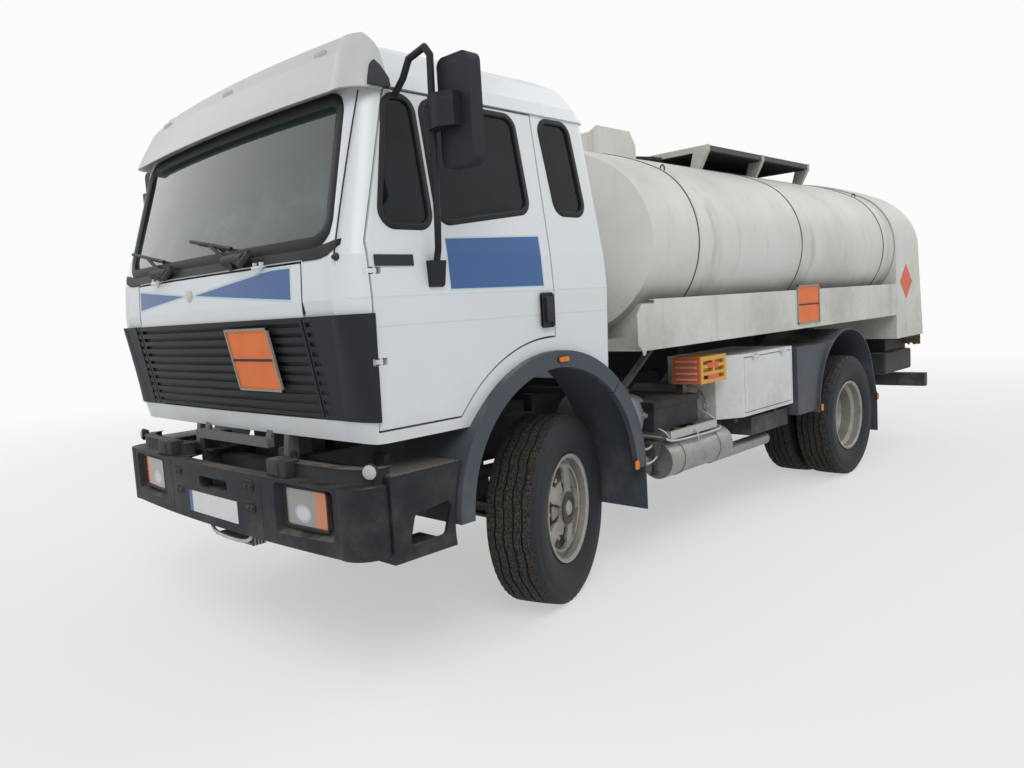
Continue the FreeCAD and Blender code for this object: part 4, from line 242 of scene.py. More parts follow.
def tankPaint():
    # sun-dulled cream: broad cloudy patches, darker patches towards the bottom, long runs from the bands
    f = Finish("tankCream")
    cloud = f.noise(0.9, 6, 0.62)
    fine = f.noise(26, 6, 0.7)
    runs = f.noise(1.0, 6, 0.62, f.stretched((9, 9, 0.7)))
    base = f.mix(f.step(cloud, 0.35, 0.7), (0.66, 0.655, 0.615), (0.56, 0.55, 0.50))
    base = f.mix(f.step(runs, 0.52, 0.75) * 0.35, base, (0.42, 0.39, 0.33))
    ring = between(f, abs(f.y - at(2.93)), -1, 0.10, 0.08) + between(f, abs(f.y - at(4.46)), -1, 0.10, 0.08) + between(f, abs(f.y - at(6.21)), -1, 0.10, 0.08)
    base = f.mix((ring * f.step(runs, 0.40, 0.75) * 0.5).within(), base, (0.36, 0.31, 0.24))
    under = (1 - f.step(f.z, 1.35, 1.95)) * f.step(cloud + fine * 0.3, 0.4, 0.9)
    base = f.mix((under * 0.65).within(), base, (0.31, 0.29, 0.25))
    blot = f.step(f.noise(11, 7, 0.75), 0.64, 0.74)
    base = f.mix(blot * 0.35, base, (0.36, 0.32, 0.26))
    f.feed("Base Color", base)
    f.feed("Roughness", (0.36 + 0.2 * cloud + 0.12 * fine).within())
    f.bump(fine + f.noise(3, 3) * 2, 0.06, 0.003)
    return f.material


def bareMetal(name, colour, rough=0.42, spangle=60, metal=0.85, stain=0.4, dust=(0.33, 0.27, 0.19)):
    f = Finish(name)
    cell = f.node("ShaderNodeTexVoronoi", {}, {"Vector": f.point, "Scale": spangle})
    tone = f.node("ShaderNodeTexNoise", {}, {"Vector": f.point, "Scale": 5.0, "Detail": 6.0, "Roughness": 0.7})
    base = f.mix(cell * 0.6, tuple(c * 0.85 for c in colour), tuple(min(1, c * 1.15) for c in colour))
    spot = f.step(tone, 0.5, 0.72) * stain
    base = f.mix(spot, base, dust)
    f.feed("Base Color", base)
    f.feed("Metallic", (metal - spot * 0.8).within())
    f.feed("Roughness", (rough + 0.25 * tone + 0.3 * spot).within())
    f.bump(cell + tone, 0.08, 0.001)
    return f.material


def chassisPaint(name="chassisBlack", colour=(0.022, 0.023, 0.027), rust=0.25):
    f = Finish(name)
    patch = f.noise(4, 7, 0.7)
    fine = f.noise(60, 6, 0.7)
    base = f.mix(patch, colour, tuple(c * 2.6 for c in colour))
    lying = f.step(f.up, 0.4, 0.9) * f.step(f.noise(7, 6, 0.6), 0.3, 0.6)
    mud = ((1 - f.step(f.z, 0.35, 1.1)) * f.step(patch + fine * 0.3, 0.5, 0.9)).most(lying * 0.8)
    flake = f.step(f.noise(19, 7, 0.75), 0.62, 0.70) * rust
    base = f.mix(flake, base, (0.16, 0.065, 0.03))
    f.feed("Base Color", f.mix((mud * 0.6).within(), base, (0.27, 0.22, 0.165)))
    f.feed("Roughness", (0.48 + 0.3 * patch + 0.2 * mud).within())
    f.shader.inputs["Specular IOR Level"].default_value = 0.25
    f.bump(fine, 0.2, 0.001)
    return f.material


def lampFinish():
    # headlamps with an amber outer third and a painted highlight, a pale bluish spot in each lens; the rear clusters
    # are red with an amber end
    f = Finish("lampGlass", Roughness=0.08, IOR=1.5)
    ribs = f.node("ShaderNodeTexWave", {"wave_type": "BANDS", "bands_direction": "X"}, {"Vector": f.point, "Scale": 24.0, "Distortion": 0.0})
    across = abs(f.x)
    # painted highlight: each headlamp lens pales from darker edges to a bluish spot near its middle
    reach = ((across - 0.785) * (across - 0.785) * 190 + (f.z - 0.782) * (f.z - 0.782) * 420).within()
    front = f.mix((1 - f.step(reach, 0.15, 0.9)) * 0.9, (0.26, 0.24, 0.20), (0.74, 0.77, 0.82))
    front = f.mix((ribs * 0.35 + f.noise(14, 4) * 0.2).within(), front, (0.20, 0.19, 0.18))
    amber = f.mix(ribs * 0.5, (0.62, 0.17, 0.03), (0.40, 0.08, 0.02))
    front = f.mix(f.step(across, 0.878, 0.882), front, amber)
    red = f.mix(ribs * 0.6, (0.42, 0.02, 0.015), (0.25, 0.01, 0.01))
    rear = f.mix(f.step(across, 1.028, 1.032), red, amber)
    rear = f.mix(1 - f.step(across, 0.862, 0.866), rear, (0.55, 0.53, 0.5))
    f.feed("Base Color", f.mix(f.step(f.y, 0, 0.1), front, rear))
    f.shader.inputs["Coat Weight"].default_value = 1.0
    f.bump(ribs, 0.35, 0.002)
    return f.material


def clothFinish():
    f = Finish("seatCloth", Roughness=0.9)
    warp = f.node("ShaderNodeTexWave", {"bands_direction": "X"}, {"Vector": f.point, "Scale": 210.0, "Distortion": 0.6})
    weft = f.node("ShaderNodeTexWave", {"bands_direction": "Z"}, {"Vector": f.point, "Scale": 210.0, "Distortion": 0.6})
    weave = warp * weft
    worn = f.noise(6, 5)
    f.feed("Base Color", f.mix(weave * 0.6 + worn * 0.3, (0.06, 0.065, 0.08), (0.16, 0.165, 0.19)))
    f.shader.inputs["Sheen Weight"].default_value = 0.3
    f.bump(weave, 0.4, 0.001)
    return f.material


def tyreFinish():
    # mottled brown dust in the tread, a smooth blue-black sidewall with a scuffed shoulder
    f = Finish("tyreRubber")
    patch = f.noise(9, 7, 0.7)
    fine = f.noise(105, 6, 0.75)
    coarse = f.noise(38, 6, 0.7)
    road = 1 - f.step(abs(f.outX), 0.40, 0.75)
    wall = f.mix(patch, (0.008, 0.010, 0.013), (0.022, 0.025, 0.030))
    wall = f.mix(f.step(coarse, 0.60, 0.75) * 0.3, wall, (0.075, 0.068, 0.055))
    worn = f.mix(f.step(fine, 0.42, 0.62), (0.010, 0.009, 0.008), (0.085, 0.073, 0.056))
    worn = f.mix(f.step(coarse, 0.50, 0.66) * 0.6, worn, (0.018, 0.017, 0.016))
    f.feed("Base Color", f.mix(road, wall, worn))
    f.feed("Roughness", (0.55 + 0.2 * patch + 0.2 * road).within())
    f.shader.inputs["Specular IOR Level"].default_value = 0.3
    f.bump(fine * (0.3 + road * 0.7), 0.55, 0.003)
    return f.material


def wheelFinish():
    f = Finish("wheelSilver")
    patch = f.noise(11, 7, 0.7)
    fine = f.noise(70, 6, 0.7)
    base = f.mix(patch, (0.42, 0.41, 0.38), (0.26, 0.245, 0.21))
    rust = f.step(f.noise(23, 7, 0.75), 0.60, 0.68)
    base = f.mix(rust * 0.45, base, (0.20, 0.11, 0.06))
    mud = f.step(patch + fine * 0.3, 0.62, 0.9)
    base = f.mix(mud * 0.6, base, (0.20, 0.165, 0.12))
    f.feed("Base Color", base)
    f.feed("Metallic", (0.45 - 0.4 * mud).within())
    f.feed("Roughness", (0.42 + 0.3 * patch).within())
    f.bump(fine, 0.15, 0.001)
    return f.material


def rackPaint():
    f, base, grime, dust, fine, rough = paint("signalYellow", (0.66, 0.33, 0.025), rough=0.4, dirt=0.4, low=1.0)
    return finishPaint((f, f.mix(1 - f.step(f.z, 1.056, 1.060), base, (0.02, 0.021, 0.024)), grime, dust, fine, rough), 0.2)


def walkwayMetal():
    # nearly black along the walkway, galvanised on its three straps and on the ladder
    f = Finish("walkwayMetal")
    patch = f.noise(6, 6, 0.7)
    straps = between(f, f.y, at(3.78), at(3.834)) + between(f, f.y, at(4.686), at(4.734)) + between(f, f.y, at(5.586), at(5.64)) + f.step(f.y, at(5.70), at(5.72))
    light = f.mix(patch, (0.52, 0.51, 0.47), (0.34, 0.33, 0.29))
    dark = f.mix(patch, (0.020, 0.021, 0.024), (0.070, 0.068, 0.062))
    f.feed("Base Color", f.mix(straps.within(), dark, light))
    f.feed("Metallic", (straps * 0.5).within())
    f.feed("Roughness", (0.5 + 0.25 * patch).within())
    f.bump(patch, 0.1, 0.002)
    return f.material


finish = {
    "cab_white": cabPaint(),
    "roof_white": finishPaint(paint("roofWhite", (0.69, 0.715, 0.73), dirt=0.35, low=0.2, streak=0.2), 0.4),
    "visor_grey": finishPaint(paint("visorGrey", (0.50, 0.50, 0.475), rough=0.42, dirt=0.5, low=0.2, streak=0.35), 0.1),
    "dark_plastic": mouldedPlastic("darkPlastic", (0.010, 0.012, 0.016), 0.34),
    "flare_grey": mouldedPlastic("flareGrey", (0.052, 0.06, 0.072), 0.45),
    "glass": darkGlass("cabGlass"),
    "interior_grey": mouldedPlastic("interiorGrey", (0.10, 0.10, 0.105), 0.1, 600),
    "seat_fabric": clothFinish(),
    "tank_cream": tankPaint(),
    "chassis_black": chassisPaint(),
    "lamp_glass": lampFinish(),
    "galvanised": bareMetal("galvanised", (0.52, 0.52, 0.50), 0.45, 70, 0.7, 0.45),
    "tank_grey": finishPaint(paint("airTankGrey", (0.15, 0.175, 0.21), rough=0.4, dirt=0.7, low=1.0), 0.1),
    "stainless": bareMetal("heatedSteel", (0.34, 0.335, 0.32), 0.40, 25, 0.8, 0.5, (0.20, 0.15, 0.10)),
    "locker_white": finishPaint(paint("lockerWhite", (0.68, 0.70, 0.69), rough=0.4, dirt=0.6, low=0.95, streak=0.3), 0.2),
    "signal_yellow": rackPaint(),
    "fuel_alloy": bareMetal("fuelAlloy", (0.58, 0.59, 0.60), 0.35, 18, 0.85, 0.35),
    "wheel_silver": wheelFinish(),
    "axle_iron": chassisPaint("axleIron", (0.035, 0.033, 0.031), 0.5),
    "tyre": tyreFinish(),
}
slotOf = {part["node"]: part["material_slot"] for part in frame["record"]["subparts"]}
for name, node in nodes.items():
    for i in range(max(1, len(node.data.materials))):
        if node.data.materials:
            node.data.materials[i] = finish[slotOf[name]]
        else:
            node.data.materials.append(finish[slotOf[name]])
nodes["walkway"].data.materials[0] = walkwayMetal()
print("finishes made")


# makers' helpers


def solidPiece(name, mesh, material, body, smooth=False):
    bm = bmesh.new()
    bm.from_mesh(mesh)
    bmesh.ops.remove_doubles(bm, verts=bm.verts, dist=1e-5)
    bmesh.ops.recalc_face_normals(bm, faces=bm.faces)
    bm.to_mesh(mesh)
    bm.free()
    mesh.materials.clear()
    mesh.materials.append(material)
    for face in mesh.polygons:
        face.use_smooth = smooth
    if smooth:
        mesh.set_sharp_from_angle(angle=math.radians(38))
    piece = bpy.data.objects.new(name, mesh)
    scene.collection.objects.link(piece)
    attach(piece, body)
    return piece


def meshOf(verts, faces, name="shape"):
    mesh = bpy.data.meshes.new(name)
    mesh.from_pydata([tuple(v) for v in verts], [], faces)
    mesh.update()
    return mesh


def joined(meshes, name="shape"):  # several meshes as one
    bm = bmesh.new()
    for mesh in meshes:
        bm.from_mesh(mesh)
    out = bpy.data.meshes.new(name)
    bm.to_mesh(out)
    bm.free()
    return out


def slab(lo, hi, round_=0.004):  # a block with softened edges
    bm = bmesh.new()
    bmesh.ops.create_cube(bm, size=1)
    lo, hi = Vector(lo), Vector(hi)
    for v in bm.verts:
        v.co = Vector([lo[i] + (v.co[i] + 0.5) * (hi[i] - lo[i]) for i in range(3)])
    if round_:
        bmesh.ops.bevel(bm, geom=bm.edges[:] + bm.verts[:], offset=round_, segments=2, affect="EDGES", profile=0.5)
    mesh = bpy.data.meshes.new("slab")
    bm.to_mesh(mesh)
    bm.free()
    return mesh


def prism(loop, depth, place, soft=0.0):  # a flat outline given thickness; place maps (u, v, w) to a point
    n = len(loop)
    verts = [place(u, v, 0) for u, v in loop] + [place(u, v, depth) for u, v in loop]
    faces = [tuple(range(n)), tuple(range(2 * n - 1, n - 1, -1))]
    faces += [(i, (i + 1) % n, n + (i + 1) % n, n + i) for i in range(n)]
    mesh = meshOf(verts, faces)
    if soft:
        bm = bmesh.new()
        bm.from_mesh(mesh)
        bmesh.ops.bevel(bm, geom=bm.edges[:], offset=soft, segments=2, affect="EDGES", profile=0.5, clamp_overlap=True)
        bm.to_mesh(mesh)
        bm.free()
    return mesh


def lathe(profile, segments=64, wobble=None):  # (along X, radius) points turned about the X axis, closed as a loop
    verts, faces = [], []
    n = len(profile)
    for i in range(segments):
        a = 2 * math.pi * i / segments
        for j, (x, r) in enumerate(profile):
            if wobble:
                x, r = wobble(i, j, x, r)
            verts.append((x, r * math.cos(a), r * math.sin(a)))
    for i in range(segments):
        for j in range(n):
            a, b = i * n + j, i * n + (j + 1) % n
            c, d = ((i + 1) % segments) * n + (j + 1) % n, ((i + 1) % segments) * n + j
            faces.append((a, b, c, d))
    return meshOf(verts, faces)


def cap(profile, segments=48):  # (along X, radius) points turned about X, from the axis back to the axis
    return lathe([(profile[0][0], 0.0)] + profile + [(profile[-1][0], 0.0)], segments)


def tubeMesh(points, radius, sides=3, cyclic=False):
    data = bpy.data.curves.new("run", "CURVE")
    data.dimensions, data.bevel_depth, data.bevel_resolution, data.use_fill_caps = "3D", radius, sides, True
    line = data.splines.new("NURBS")
    line.points.add(len(points) - 1)
    for p, v in zip(line.points, points):
        p.co = (*v, 1)
    line.order_u, line.use_endpoint_u, line.use_cyclic_u, line.resolution_u = 3, not cyclic, cyclic, 6
    holder = bpy.data.objects.new("run", data)
    scene.collection.objects.link(holder)
    mesh = bpy.data.meshes.new_from_object(holder.evaluated_get(bpy.context.evaluated_depsgraph_get()))
    bpy.data.objects.remove(holder)
    return mesh


def moved(mesh, matrix):
    copy = mesh.copy()
    copy.transform(matrix)
    return copy


def roundLoop(corners, radius, steps=6):
    out = []
    n = len(corners)
    for i in range(n):
        p, a, b = Vector(corners[i]), Vector(corners[i - 1]), Vector(corners[(i + 1) % n])
        u, v = (a - p).normalized(), (b - p).normalized()
        half = u.angle(v) / 2
        reach = radius / math.tan(half)
        centre = p + (u + v).normalized() * (radius / math.sin(half))
        start, end = p + u * reach - centre, p + v * reach - centre
        for k in range(steps + 1):
            mixDir = start.lerp(end, k / steps).normalized() * radius
            out.append(tuple(centre + mixDir))
    return out


# repeats, made with geometry nodes
def repeatTree(name, ring):
    tree = bpy.data.node_groups.new(name, "GeometryNodeTree")
    face = tree.interface
    for label, kind, value in (("Piece", "NodeSocketObject", None), ("Count", "NodeSocketInt", 10), ("Reach", "NodeSocketFloat", 0.1),
                               ("Turn", "NodeSocketFloat", 0.0), ("Finish", "NodeSocketMaterial", None)):
        s = face.new_socket(label, in_out="INPUT", socket_type=kind)
        if value is not None:
            s.default_value = value
    face.new_socket("Geometry", in_out="OUTPUT", socket_type="NodeSocketGeometry")
    n, link = tree.nodes, tree.links
    given, result = n.new("NodeGroupInput"), n.new("NodeGroupOutput")
    info, put = n.new("GeometryNodeObjectInfo"), n.new("GeometryNodeInstanceOnPoints")
    real, dress = n.new("GeometryNodeRealizeInstances"), n.new("GeometryNodeSetMaterial")
    link.new(given.outputs["Piece"], info.inputs["Object"])
    if ring:  # round the X axis, each piece turned to its own place
        points = n.new("GeometryNodeMeshCircle")
        link.new(given.outputs["Count"], points.inputs["Vertices"])
        link.new(given.outputs["Reach"], points.inputs["Radius"])
        index, share = n.new("GeometryNodeInputIndex"), n.new("ShaderNodeMath")
        share.operation = "DIVIDE"
        link.new(index.outputs[0], share.inputs[0])
        link.new(given.outputs["Count"], share.inputs[1])
        whole = n.new("ShaderNodeMath")
        whole.operation, whole.inputs[1].default_value = "MULTIPLY", 2 * math.pi
        link.new(share.outputs[0], whole.inputs[0])
        angle = n.new("ShaderNodeCombineXYZ")
        link.new(whole.outputs[0], angle.inputs["Z"])
        link.new(angle.outputs[0], put.inputs["Rotation"])
        link.new(points.outputs[0], put.inputs["Points"])
    else:  # along X from the middle, evenly
        points = n.new("GeometryNodeMeshLine")
        points.mode, points.count_mode = "END_POINTS", "TOTAL"
        link.new(given.outputs["Count"], points.inputs["Count"])
        back, low, high = n.new("ShaderNodeMath"), n.new("ShaderNodeCombineXYZ"), n.new("ShaderNodeCombineXYZ")
        back.operation, back.inputs[1].default_value = "MULTIPLY", -1.0
        link.new(given.outputs["Reach"], back.inputs[0])
        link.new(back.outputs[0], low.inputs["X"])
        link.new(given.outputs["Reach"], high.inputs["X"])
        link.new(low.outputs[0], points.inputs["Start Location"])
        link.new(high.outputs[0], points.inputs["Offset"])
        turn = n.new("ShaderNodeCombineXYZ")
        link.new(given.outputs["Turn"], turn.inputs["Z"])
        link.new(turn.outputs[0], put.inputs["Rotation"])
        link.new(points.outputs[0], put.inputs["Points"])
    link.new(info.outputs["Geometry"], put.inputs["Instance"])
    link.new(put.outputs["Instances"], real.inputs[0])
    link.new(real.outputs[0], dress.inputs["Geometry"])
    link.new(given.outputs["Finish"], dress.inputs["Material"])
    link.new(dress.outputs[0], result.inputs[0])
    return tree


ringTree = repeatTree("ringOfPieces", True)
rowTree = repeatTree("rowOfPieces", False)


def repeated(tree, mesh, count, reach, material, turn=0.0):  # the repeat as one plain mesh
    part = bpy.data.objects.new("part", mesh)
    scene.collection.objects.link(part)
    host = bpy.data.objects.new("host", bpy.data.meshes.new("host"))
    scene.collection.objects.link(host)
    mod = host.modifiers.new("repeat", "NODES")
    mod.node_group = tree
    values = {"Piece": part, "Count": count, "Reach": reach, "Turn": turn, "Finish": material}
    for item in tree.interface.items_tree:
        if item.item_type == "SOCKET" and item.in_out == "INPUT":
            mod[item.identifier] = values[item.name]
    bpy.context.view_layer.update()
    out = bpy.data.meshes.new_from_object(host.evaluated_get(bpy.context.evaluated_depsgraph_get()))
    host.modifiers.remove(mod)
    bpy.data.objects.remove(host)
    bpy.data.objects.remove(part)
    return out


zToX = Matrix(((0, 0, 1, 0), (1, 0, 0, 0), (0, 1, 0, 0), (0, 0, 0, 1)))  # a ring about Z put about X


def ringOf(mesh, count, radius, material):
    return moved(repeated(ringTree, mesh, count, radius, material), zToX)


def bolt(radius, height, sides=6):  # a hexagon head along Z, with a washer
    shape = lathe([(0, 0.0), (0, radius * 1.5), (height * 0.22, radius * 1.5), (height * 0.22, radius), (height * 0.9, radius), (height, radius * 0.8), (height, 0.0)], sides)
    return moved(shape, Matrix(((0, 0, 1, 0), (0, 1, 0, 0), (1, 0, 0, 0), (0, 0, 0, 1))))


print("helpers ready")

# finishes for the added pieces
def plainPaint(name, colour, rough=0.45, dirt=0.35, coat=0.1):
    return finishPaint(paint(name, colour, rough=rough, dirt=dirt, low=0.6, streak=0.25), coat)


def signFace(name, colour, edge):
    f = Finish(name)
    fade, fine = f.noise(7, 5, 0.6), f.noise(60, 5, 0.7)
    base = f.mix(f.step(fade, 0.35, 0.75) * 0.5, colour, tuple(c * 0.75 for c in colour))
    base = f.mix(f.step(fine, 0.55, 0.8) * 0.25, base, edge)
    f.feed("Base Color", base)
    f.feed("Roughness", (0.4 + 0.3 * fine).within())
    f.bump(fine, 0.08, 0.0008)
    return f.material


def treadMetal():
    # an expanded-metal tread: the diamond openings are painted dark as shade between worn strands
    f = Finish("treadMetal")
    u, v = f.x * 150.0, f.y * 95.0
    lattice = abs(f.x.sum("SINE", u + v)).least(abs(f.x.sum("SINE", u - v)))
    strand = 1 - f.step(lattice, 0.35, 0.55)
    worn = f.noise(30, 5, 0.7)
    metal = f.mix(worn, (0.42, 0.40, 0.36), (0.22, 0.19, 0.15))
    # painted shade fills the openings, where no hole is cut
    f.feed("Base Color", f.mix(strand, (0.02, 0.018, 0.016), metal))
    f.feed("Metallic", strand * 0.6)
    f.feed("Roughness", (0.45 + 0.3 * worn).within())
    f.bump(strand, 0.8, 0.004)
    return f.material


def dullRubber(name, colour):
    f = Finish(name, Roughness=0.9)
    worn = f.noise(8, 6)
    f.feed("Base Color", f.mix(worn, colour, tuple(c * 0.55 for c in colour)))
    f.bump(f.noise(120, 3), 0.3, 0.001)
    return f.material


rubber = mouldedPlastic("sealRubber", (0.012, 0.012, 0.013), 0.25, 300)
blackPaint = chassisPaint("blackTrim", (0.016, 0.017, 0.019), 0.08)
trimSilver = wheelFinish()
signOrange = signFace("signOrange", (0.80, 0.175, 0.03), (0.45, 0.20, 0.10))
signRed = signFace("placardRed", (0.70, 0.12, 0.05), (0.5, 0.3, 0.2))
signFrame = bareMetal("signFrame", (0.35, 0.31, 0.24), 0.5, 40, 0.5, 0.5)
plateWhite = plainPaint("plateWhite", (0.72, 0.73, 0.73), 0.35)
plateBlue = plainPaint("plateBlue", (0.03, 0.10, 0.36), 0.35)
amber = signFace("amberLens", (0.75, 0.20, 0.02), (0.4, 0.08, 0.02))
clearLens = signFace("clearLens", (0.46, 0.46, 0.44), (0.26, 0.26, 0.25))
zinc = bareMetal("zincTrim", (0.50, 0.50, 0.48), 0.4, 80, 0.7, 0.45)
tread = treadMetal()
brownFlap = dullRubber("brownFlap", (0.20, 0.13, 0.08))

# wheels
tyreSet = {"segments": 180, "grooveAt": (0.026, 0.075), "grooveHalf": 0.0048, "grooveDepth": 0.012, "crown": 0.5215}
wheelR = 0.522
steer = math.radians(18)


def wheelPlace(side, front):
    if front:
        c, s = math.cos(steer), math.sin(steer)
        where = Vector((side * (0.915 + 0.08 * c), axleFront + side * 0.08 * s, wheelR))
        turn = Matrix.Rotation(steer if side > 0 else steer + math.pi, 4, "Z")
    else:
        where = Vector((side * 1.077, axleRear, wheelR))
        turn = Matrix.Rotation(0 if side > 0 else math.pi, 4, "Z")
    return Matrix.Translation(where) @ turn


def tyreProfile():
    half = [(0.1124, 0.2866), (0.1124, 0.300), (0.1175, 0.306), (0.129, 0.326), (0.1400, 0.360), (0.1468, 0.392), (0.1488, 0.415),
            (0.1480, 0.434), (0.1462, 0.448), (0.1474, 0.450), (0.1466, 0.455), (0.1448, 0.456), (0.1418, 0.472), (0.1380, 0.486),
            (0.1372, 0.492), (0.1325, 0.4985), (0.1290, 0.5045), (0.1215, 0.5165), (0.1150, 0.5185)]
    topRow = []
    for middle in reversed(tyreSet["grooveAt"]):
        w, d = tyreSet["grooveHalf"], tyreSet["grooveDepth"]
        r = tyreSet["crown"] - 0.003 * (middle / 0.115) ** 2
        topRow += [(middle + w, r), (middle + w * 0.6, r - d), (middle - w * 0.6, r - d), (middle - w, r)]
    right = half + topRow + [(0.0, tyreSet["crown"])]
    left = [(-x, r) for x, r in reversed(right[:-1])]
    inside = [(-0.0685, 0.2866), (-0.115, 0.415), (-0.090, 0.480), (0.090, 0.480), (0.115, 0.415), (0.0685, 0.2866)]
    return right + left + inside


def tyreMesh(kind):
    profile = tyreProfile()

    def shape(i, j, x, r):
        if r > 0.500 and abs(x) < 0.112:  # the grooves wander a little from side to side
            phase = (i % 12) / 12
            x += 0.0035 * (1 if phase < 0.5 else -1) * (1 if abs(x) > 0.015 else 0)
        if kind == "lug" and abs(x) > 0.088 and r > 0.497 and i % 5 == 0:
            r -= 0.011
        if kind == "rib" and 0.112 < abs(x) < 0.131 and r > 0.500 and i % 3 == 0:
            r -= 0.004
        return x, r
    return lathe(profile, tyreSet["segments"], shape)


ribTyre, lugTyre = tyreMesh("rib"), tyreMesh("lug")
for side, word in ((1, "left"), (-1, "right")):
    shape = moved(ribTyre, wheelPlace(side, True))
    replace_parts(solidPiece("roadTyreFront." + word, shape, finish["tyre"], "wheel_front_" + word, True), "tyre_front_" + word)
    outer = wheelPlace(side, False)
    pair = joined([moved(lugTyre, outer), moved(lugTyre, outer @ Matrix.Translation((-0.33, 0, 0)))])
    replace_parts(solidPiece("roadTyreRear." + word, pair, finish["tyre"], "wheel_rear_" + word, True), "tyre_rear_" + word)

trimSet = {"arms": 5, "nutRadius": 0.016, "nutCircle": 0.1675, "armDepth": 0.014}
armOutline = [(0.062, 0.036), (0.095, 0.029), (0.125, 0.032), (0.150, 0.044), (0.172, 0.046), (0.196, 0.040), (0.222, 0.058), (0.236, 0.052), (0.240, 0.020)]
plateOutline = [(0.088, 0.016), (0.118, 0.034), (0.142, 0.040), (0.150, 0.020)]


def armMesh(outline, reach, lift, droop, depth, twist=0.0):  # a flat arm along +X with softened edges, bowed down to its tip
    loop = outline + [(u, -v) for u, v in reversed(outline)]
    verts, n = [], len(loop)
    for layer in (0, 1):
        for u, v in loop:
            verts.append((u, v, lift - droop * (u / reach) ** 2 - abs(v) * 0.22 - (0 if layer else depth)))
    faces = [tuple(range(n)), tuple(range(2 * n - 1, n - 1, -1))] + [(i, (i + 1) % n, n + (i + 1) % n, n + i) for i in range(n)]
    mesh = meshOf(verts, faces)
    bm = bmesh.new()
    bm.from_mesh(mesh)
    bmesh.ops.triangulate(bm, faces=[f for f in bm.faces if len(f.verts) > 4])
    bmesh.ops.recalc_face_normals(bm, faces=bm.faces)
    bm.to_mesh(mesh)
    bm.free()
    return moved(mesh, Matrix.Rotation(twist, 4, "Z"))


arms0 = joined([ringOf(armMesh(armOutline, 0.24, 0.118, 0.030, trimSet["armDepth"]), trimSet["arms"], 0.001, trimSilver),
                ringOf(armMesh(plateOutline, 0.15, 0.100, 0.012, 0.008, math.pi / 5), trimSet["arms"], 0.001, trimSilver)])
nuts = ringOf(bolt(trimSet["nutRadius"], 0.036), 10, trimSet["nutCircle"], trimSilver)
smallNuts = ringOf(bolt(0.008, 0.014), 8, 0.060, trimSilver)
coverRim = lathe([(0.070, 0.232), (0.086, 0.232), (0.090, 0.238), (0.086, 0.246), (0.070, 0.248)], 72)
coverHub = lathe([(0.1125, 0.047), (0.1125, 0.088), (0.119, 0.090), (0.1235, 0.084), (0.1235, 0.066), (0.116, 0.058), (0.116, 0.047)], 56)
coverCap = cap([(0.1125, 0.040), (0.120, 0.040), (0.126, 0.034), (0.1285, 0.018)], 40)
for side, word in ((1, "left"), (-1, "right")):
    put = wheelPlace(side, True)
    body = "wheel_front_" + word
    solidPiece("wheelArms." + word, moved(joined([arms0, coverRim]), put), trimSilver, body, True)
    solidPiece("wheelNutsFront." + word, moved(nuts, put @ Matrix.Translation((0.040, 0, 0))), trimSilver, body)
    solidPiece("hubRing." + word, moved(coverHub, put), blackPaint, body, True)
    solidPiece("hubCap." + word, moved(coverCap, put), trimSilver, body, True)
    put = wheelPlace(side, False)
    body = "wheel_rear_" + word
    solidPiece("wheelNutsRear." + word, moved(nuts, put @ Matrix.Translation((-0.153, 0, 0))), trimSilver, body)
    flange = cap([(-0.030, 0.078), (-0.020, 0.078), (-0.017, 0.072), (-0.017, 0.048), (-0.006, 0.044), (-0.004, 0.030)], 48)
    solidPiece("rearHubCap." + word, moved(flange, put), trimSilver, body, True)
    solidPiece("rearHubBolts." + word, moved(smallNuts, put @ Matrix.Translation((-0.0175, 0, 0))), trimSilver, body)
print("wheels dressed")

# window seals laid on the cab's own surface
def treeOf(names):
    verts, faces = [], []
    for name in names:
        mesh = nodes[name].data
        base = len(verts)
        verts += [v.co.copy() for v in mesh.vertices]
        faces += [tuple(base + i for i in p.vertices) for p in mesh.polygons]
    return BVHTree.FromPolygons(verts, faces)


shellTree = treeOf(["cab_front", "cab_back", "door_left", "door_right", "cab_roof", "flap_panel"])
sealSet = {"over": 0.007, "out": 0.020, "rise": 0.007}


def surfacePoint(u, v, facing):  # facing "side" reads (y, z) from +X, "front" reads (x, z) from -Y
    if facing == "front":
        hit = shellTree.ray_cast(Vector((u, -6, v)), Vector((0, 1, 0)))[0]
    else:
        hit = shellTree.ray_cast(Vector((facing * 3, u, v)), Vector((-facing, 0, 0)))[0]
    return hit


def seal(name, corners, radius, facing, body, over=None, out=None, rise=None, material=None):
    over, out, rise = over or sealSet["over"], out or sealSet["out"], rise or sealSet["rise"]
    loop = [Vector(p) for p in roundLoop(corners, radius, 8)]
    middle = sum(loop, Vector((0, 0))) / len(loop)
    dense = []
    for i, p in enumerate(loop):  # long straight runs are divided so that they follow the bowed glass
        q = loop[(i + 1) % len(loop)]
        parts = max(1, int((q - p).length / 0.08))
        dense += [p.lerp(q, k / parts) for k in range(parts)]
    n = len(dense)
    verts, faces = [], []
    outward = Vector((0, -1, 0)) if facing == "front" else Vector((facing, 0, 0))
    for i, p in enumerate(dense):
        along = (dense[(i + 1) % n] - dense[i - 1]).normalized()
        normal = Vector((along.y, -along.x))
        if normal.dot(p - middle) < 0:
            normal = -normal
        at0 = p + normal * 0.012
        hit = surfacePoint(at0.x, at0.y, facing) or surfacePoint(p.x + normal.x * 0.03, p.y + normal.y * 0.03, facing)
        base = -hit.y if facing == "front" else hit.x * facing
        for d, h in ((-over, -0.012), (-over, rise * 0.4), (-over * 0.4, rise), (out * 0.6, rise), (out, rise * 0.3), (out, -0.004)):
            q = p + normal * d
            verts.append((q.x, -(base + h), q.y) if facing == "front" else (facing * (base + h), q.x, q.y))
    for i in range(n):
        for j in range(6):
            faces.append((i * 6 + j, i * 6 + (j + 1) % 6, ((i + 1) % n) * 6 + (j + 1) % 6, ((i + 1) % n) * 6 + j))
    return solidPiece(name, meshOf(verts, faces), material or rubber, body, True)


def onSide(corners):
    return [(at(y / 1000), z / 1000) for y, z in corners]


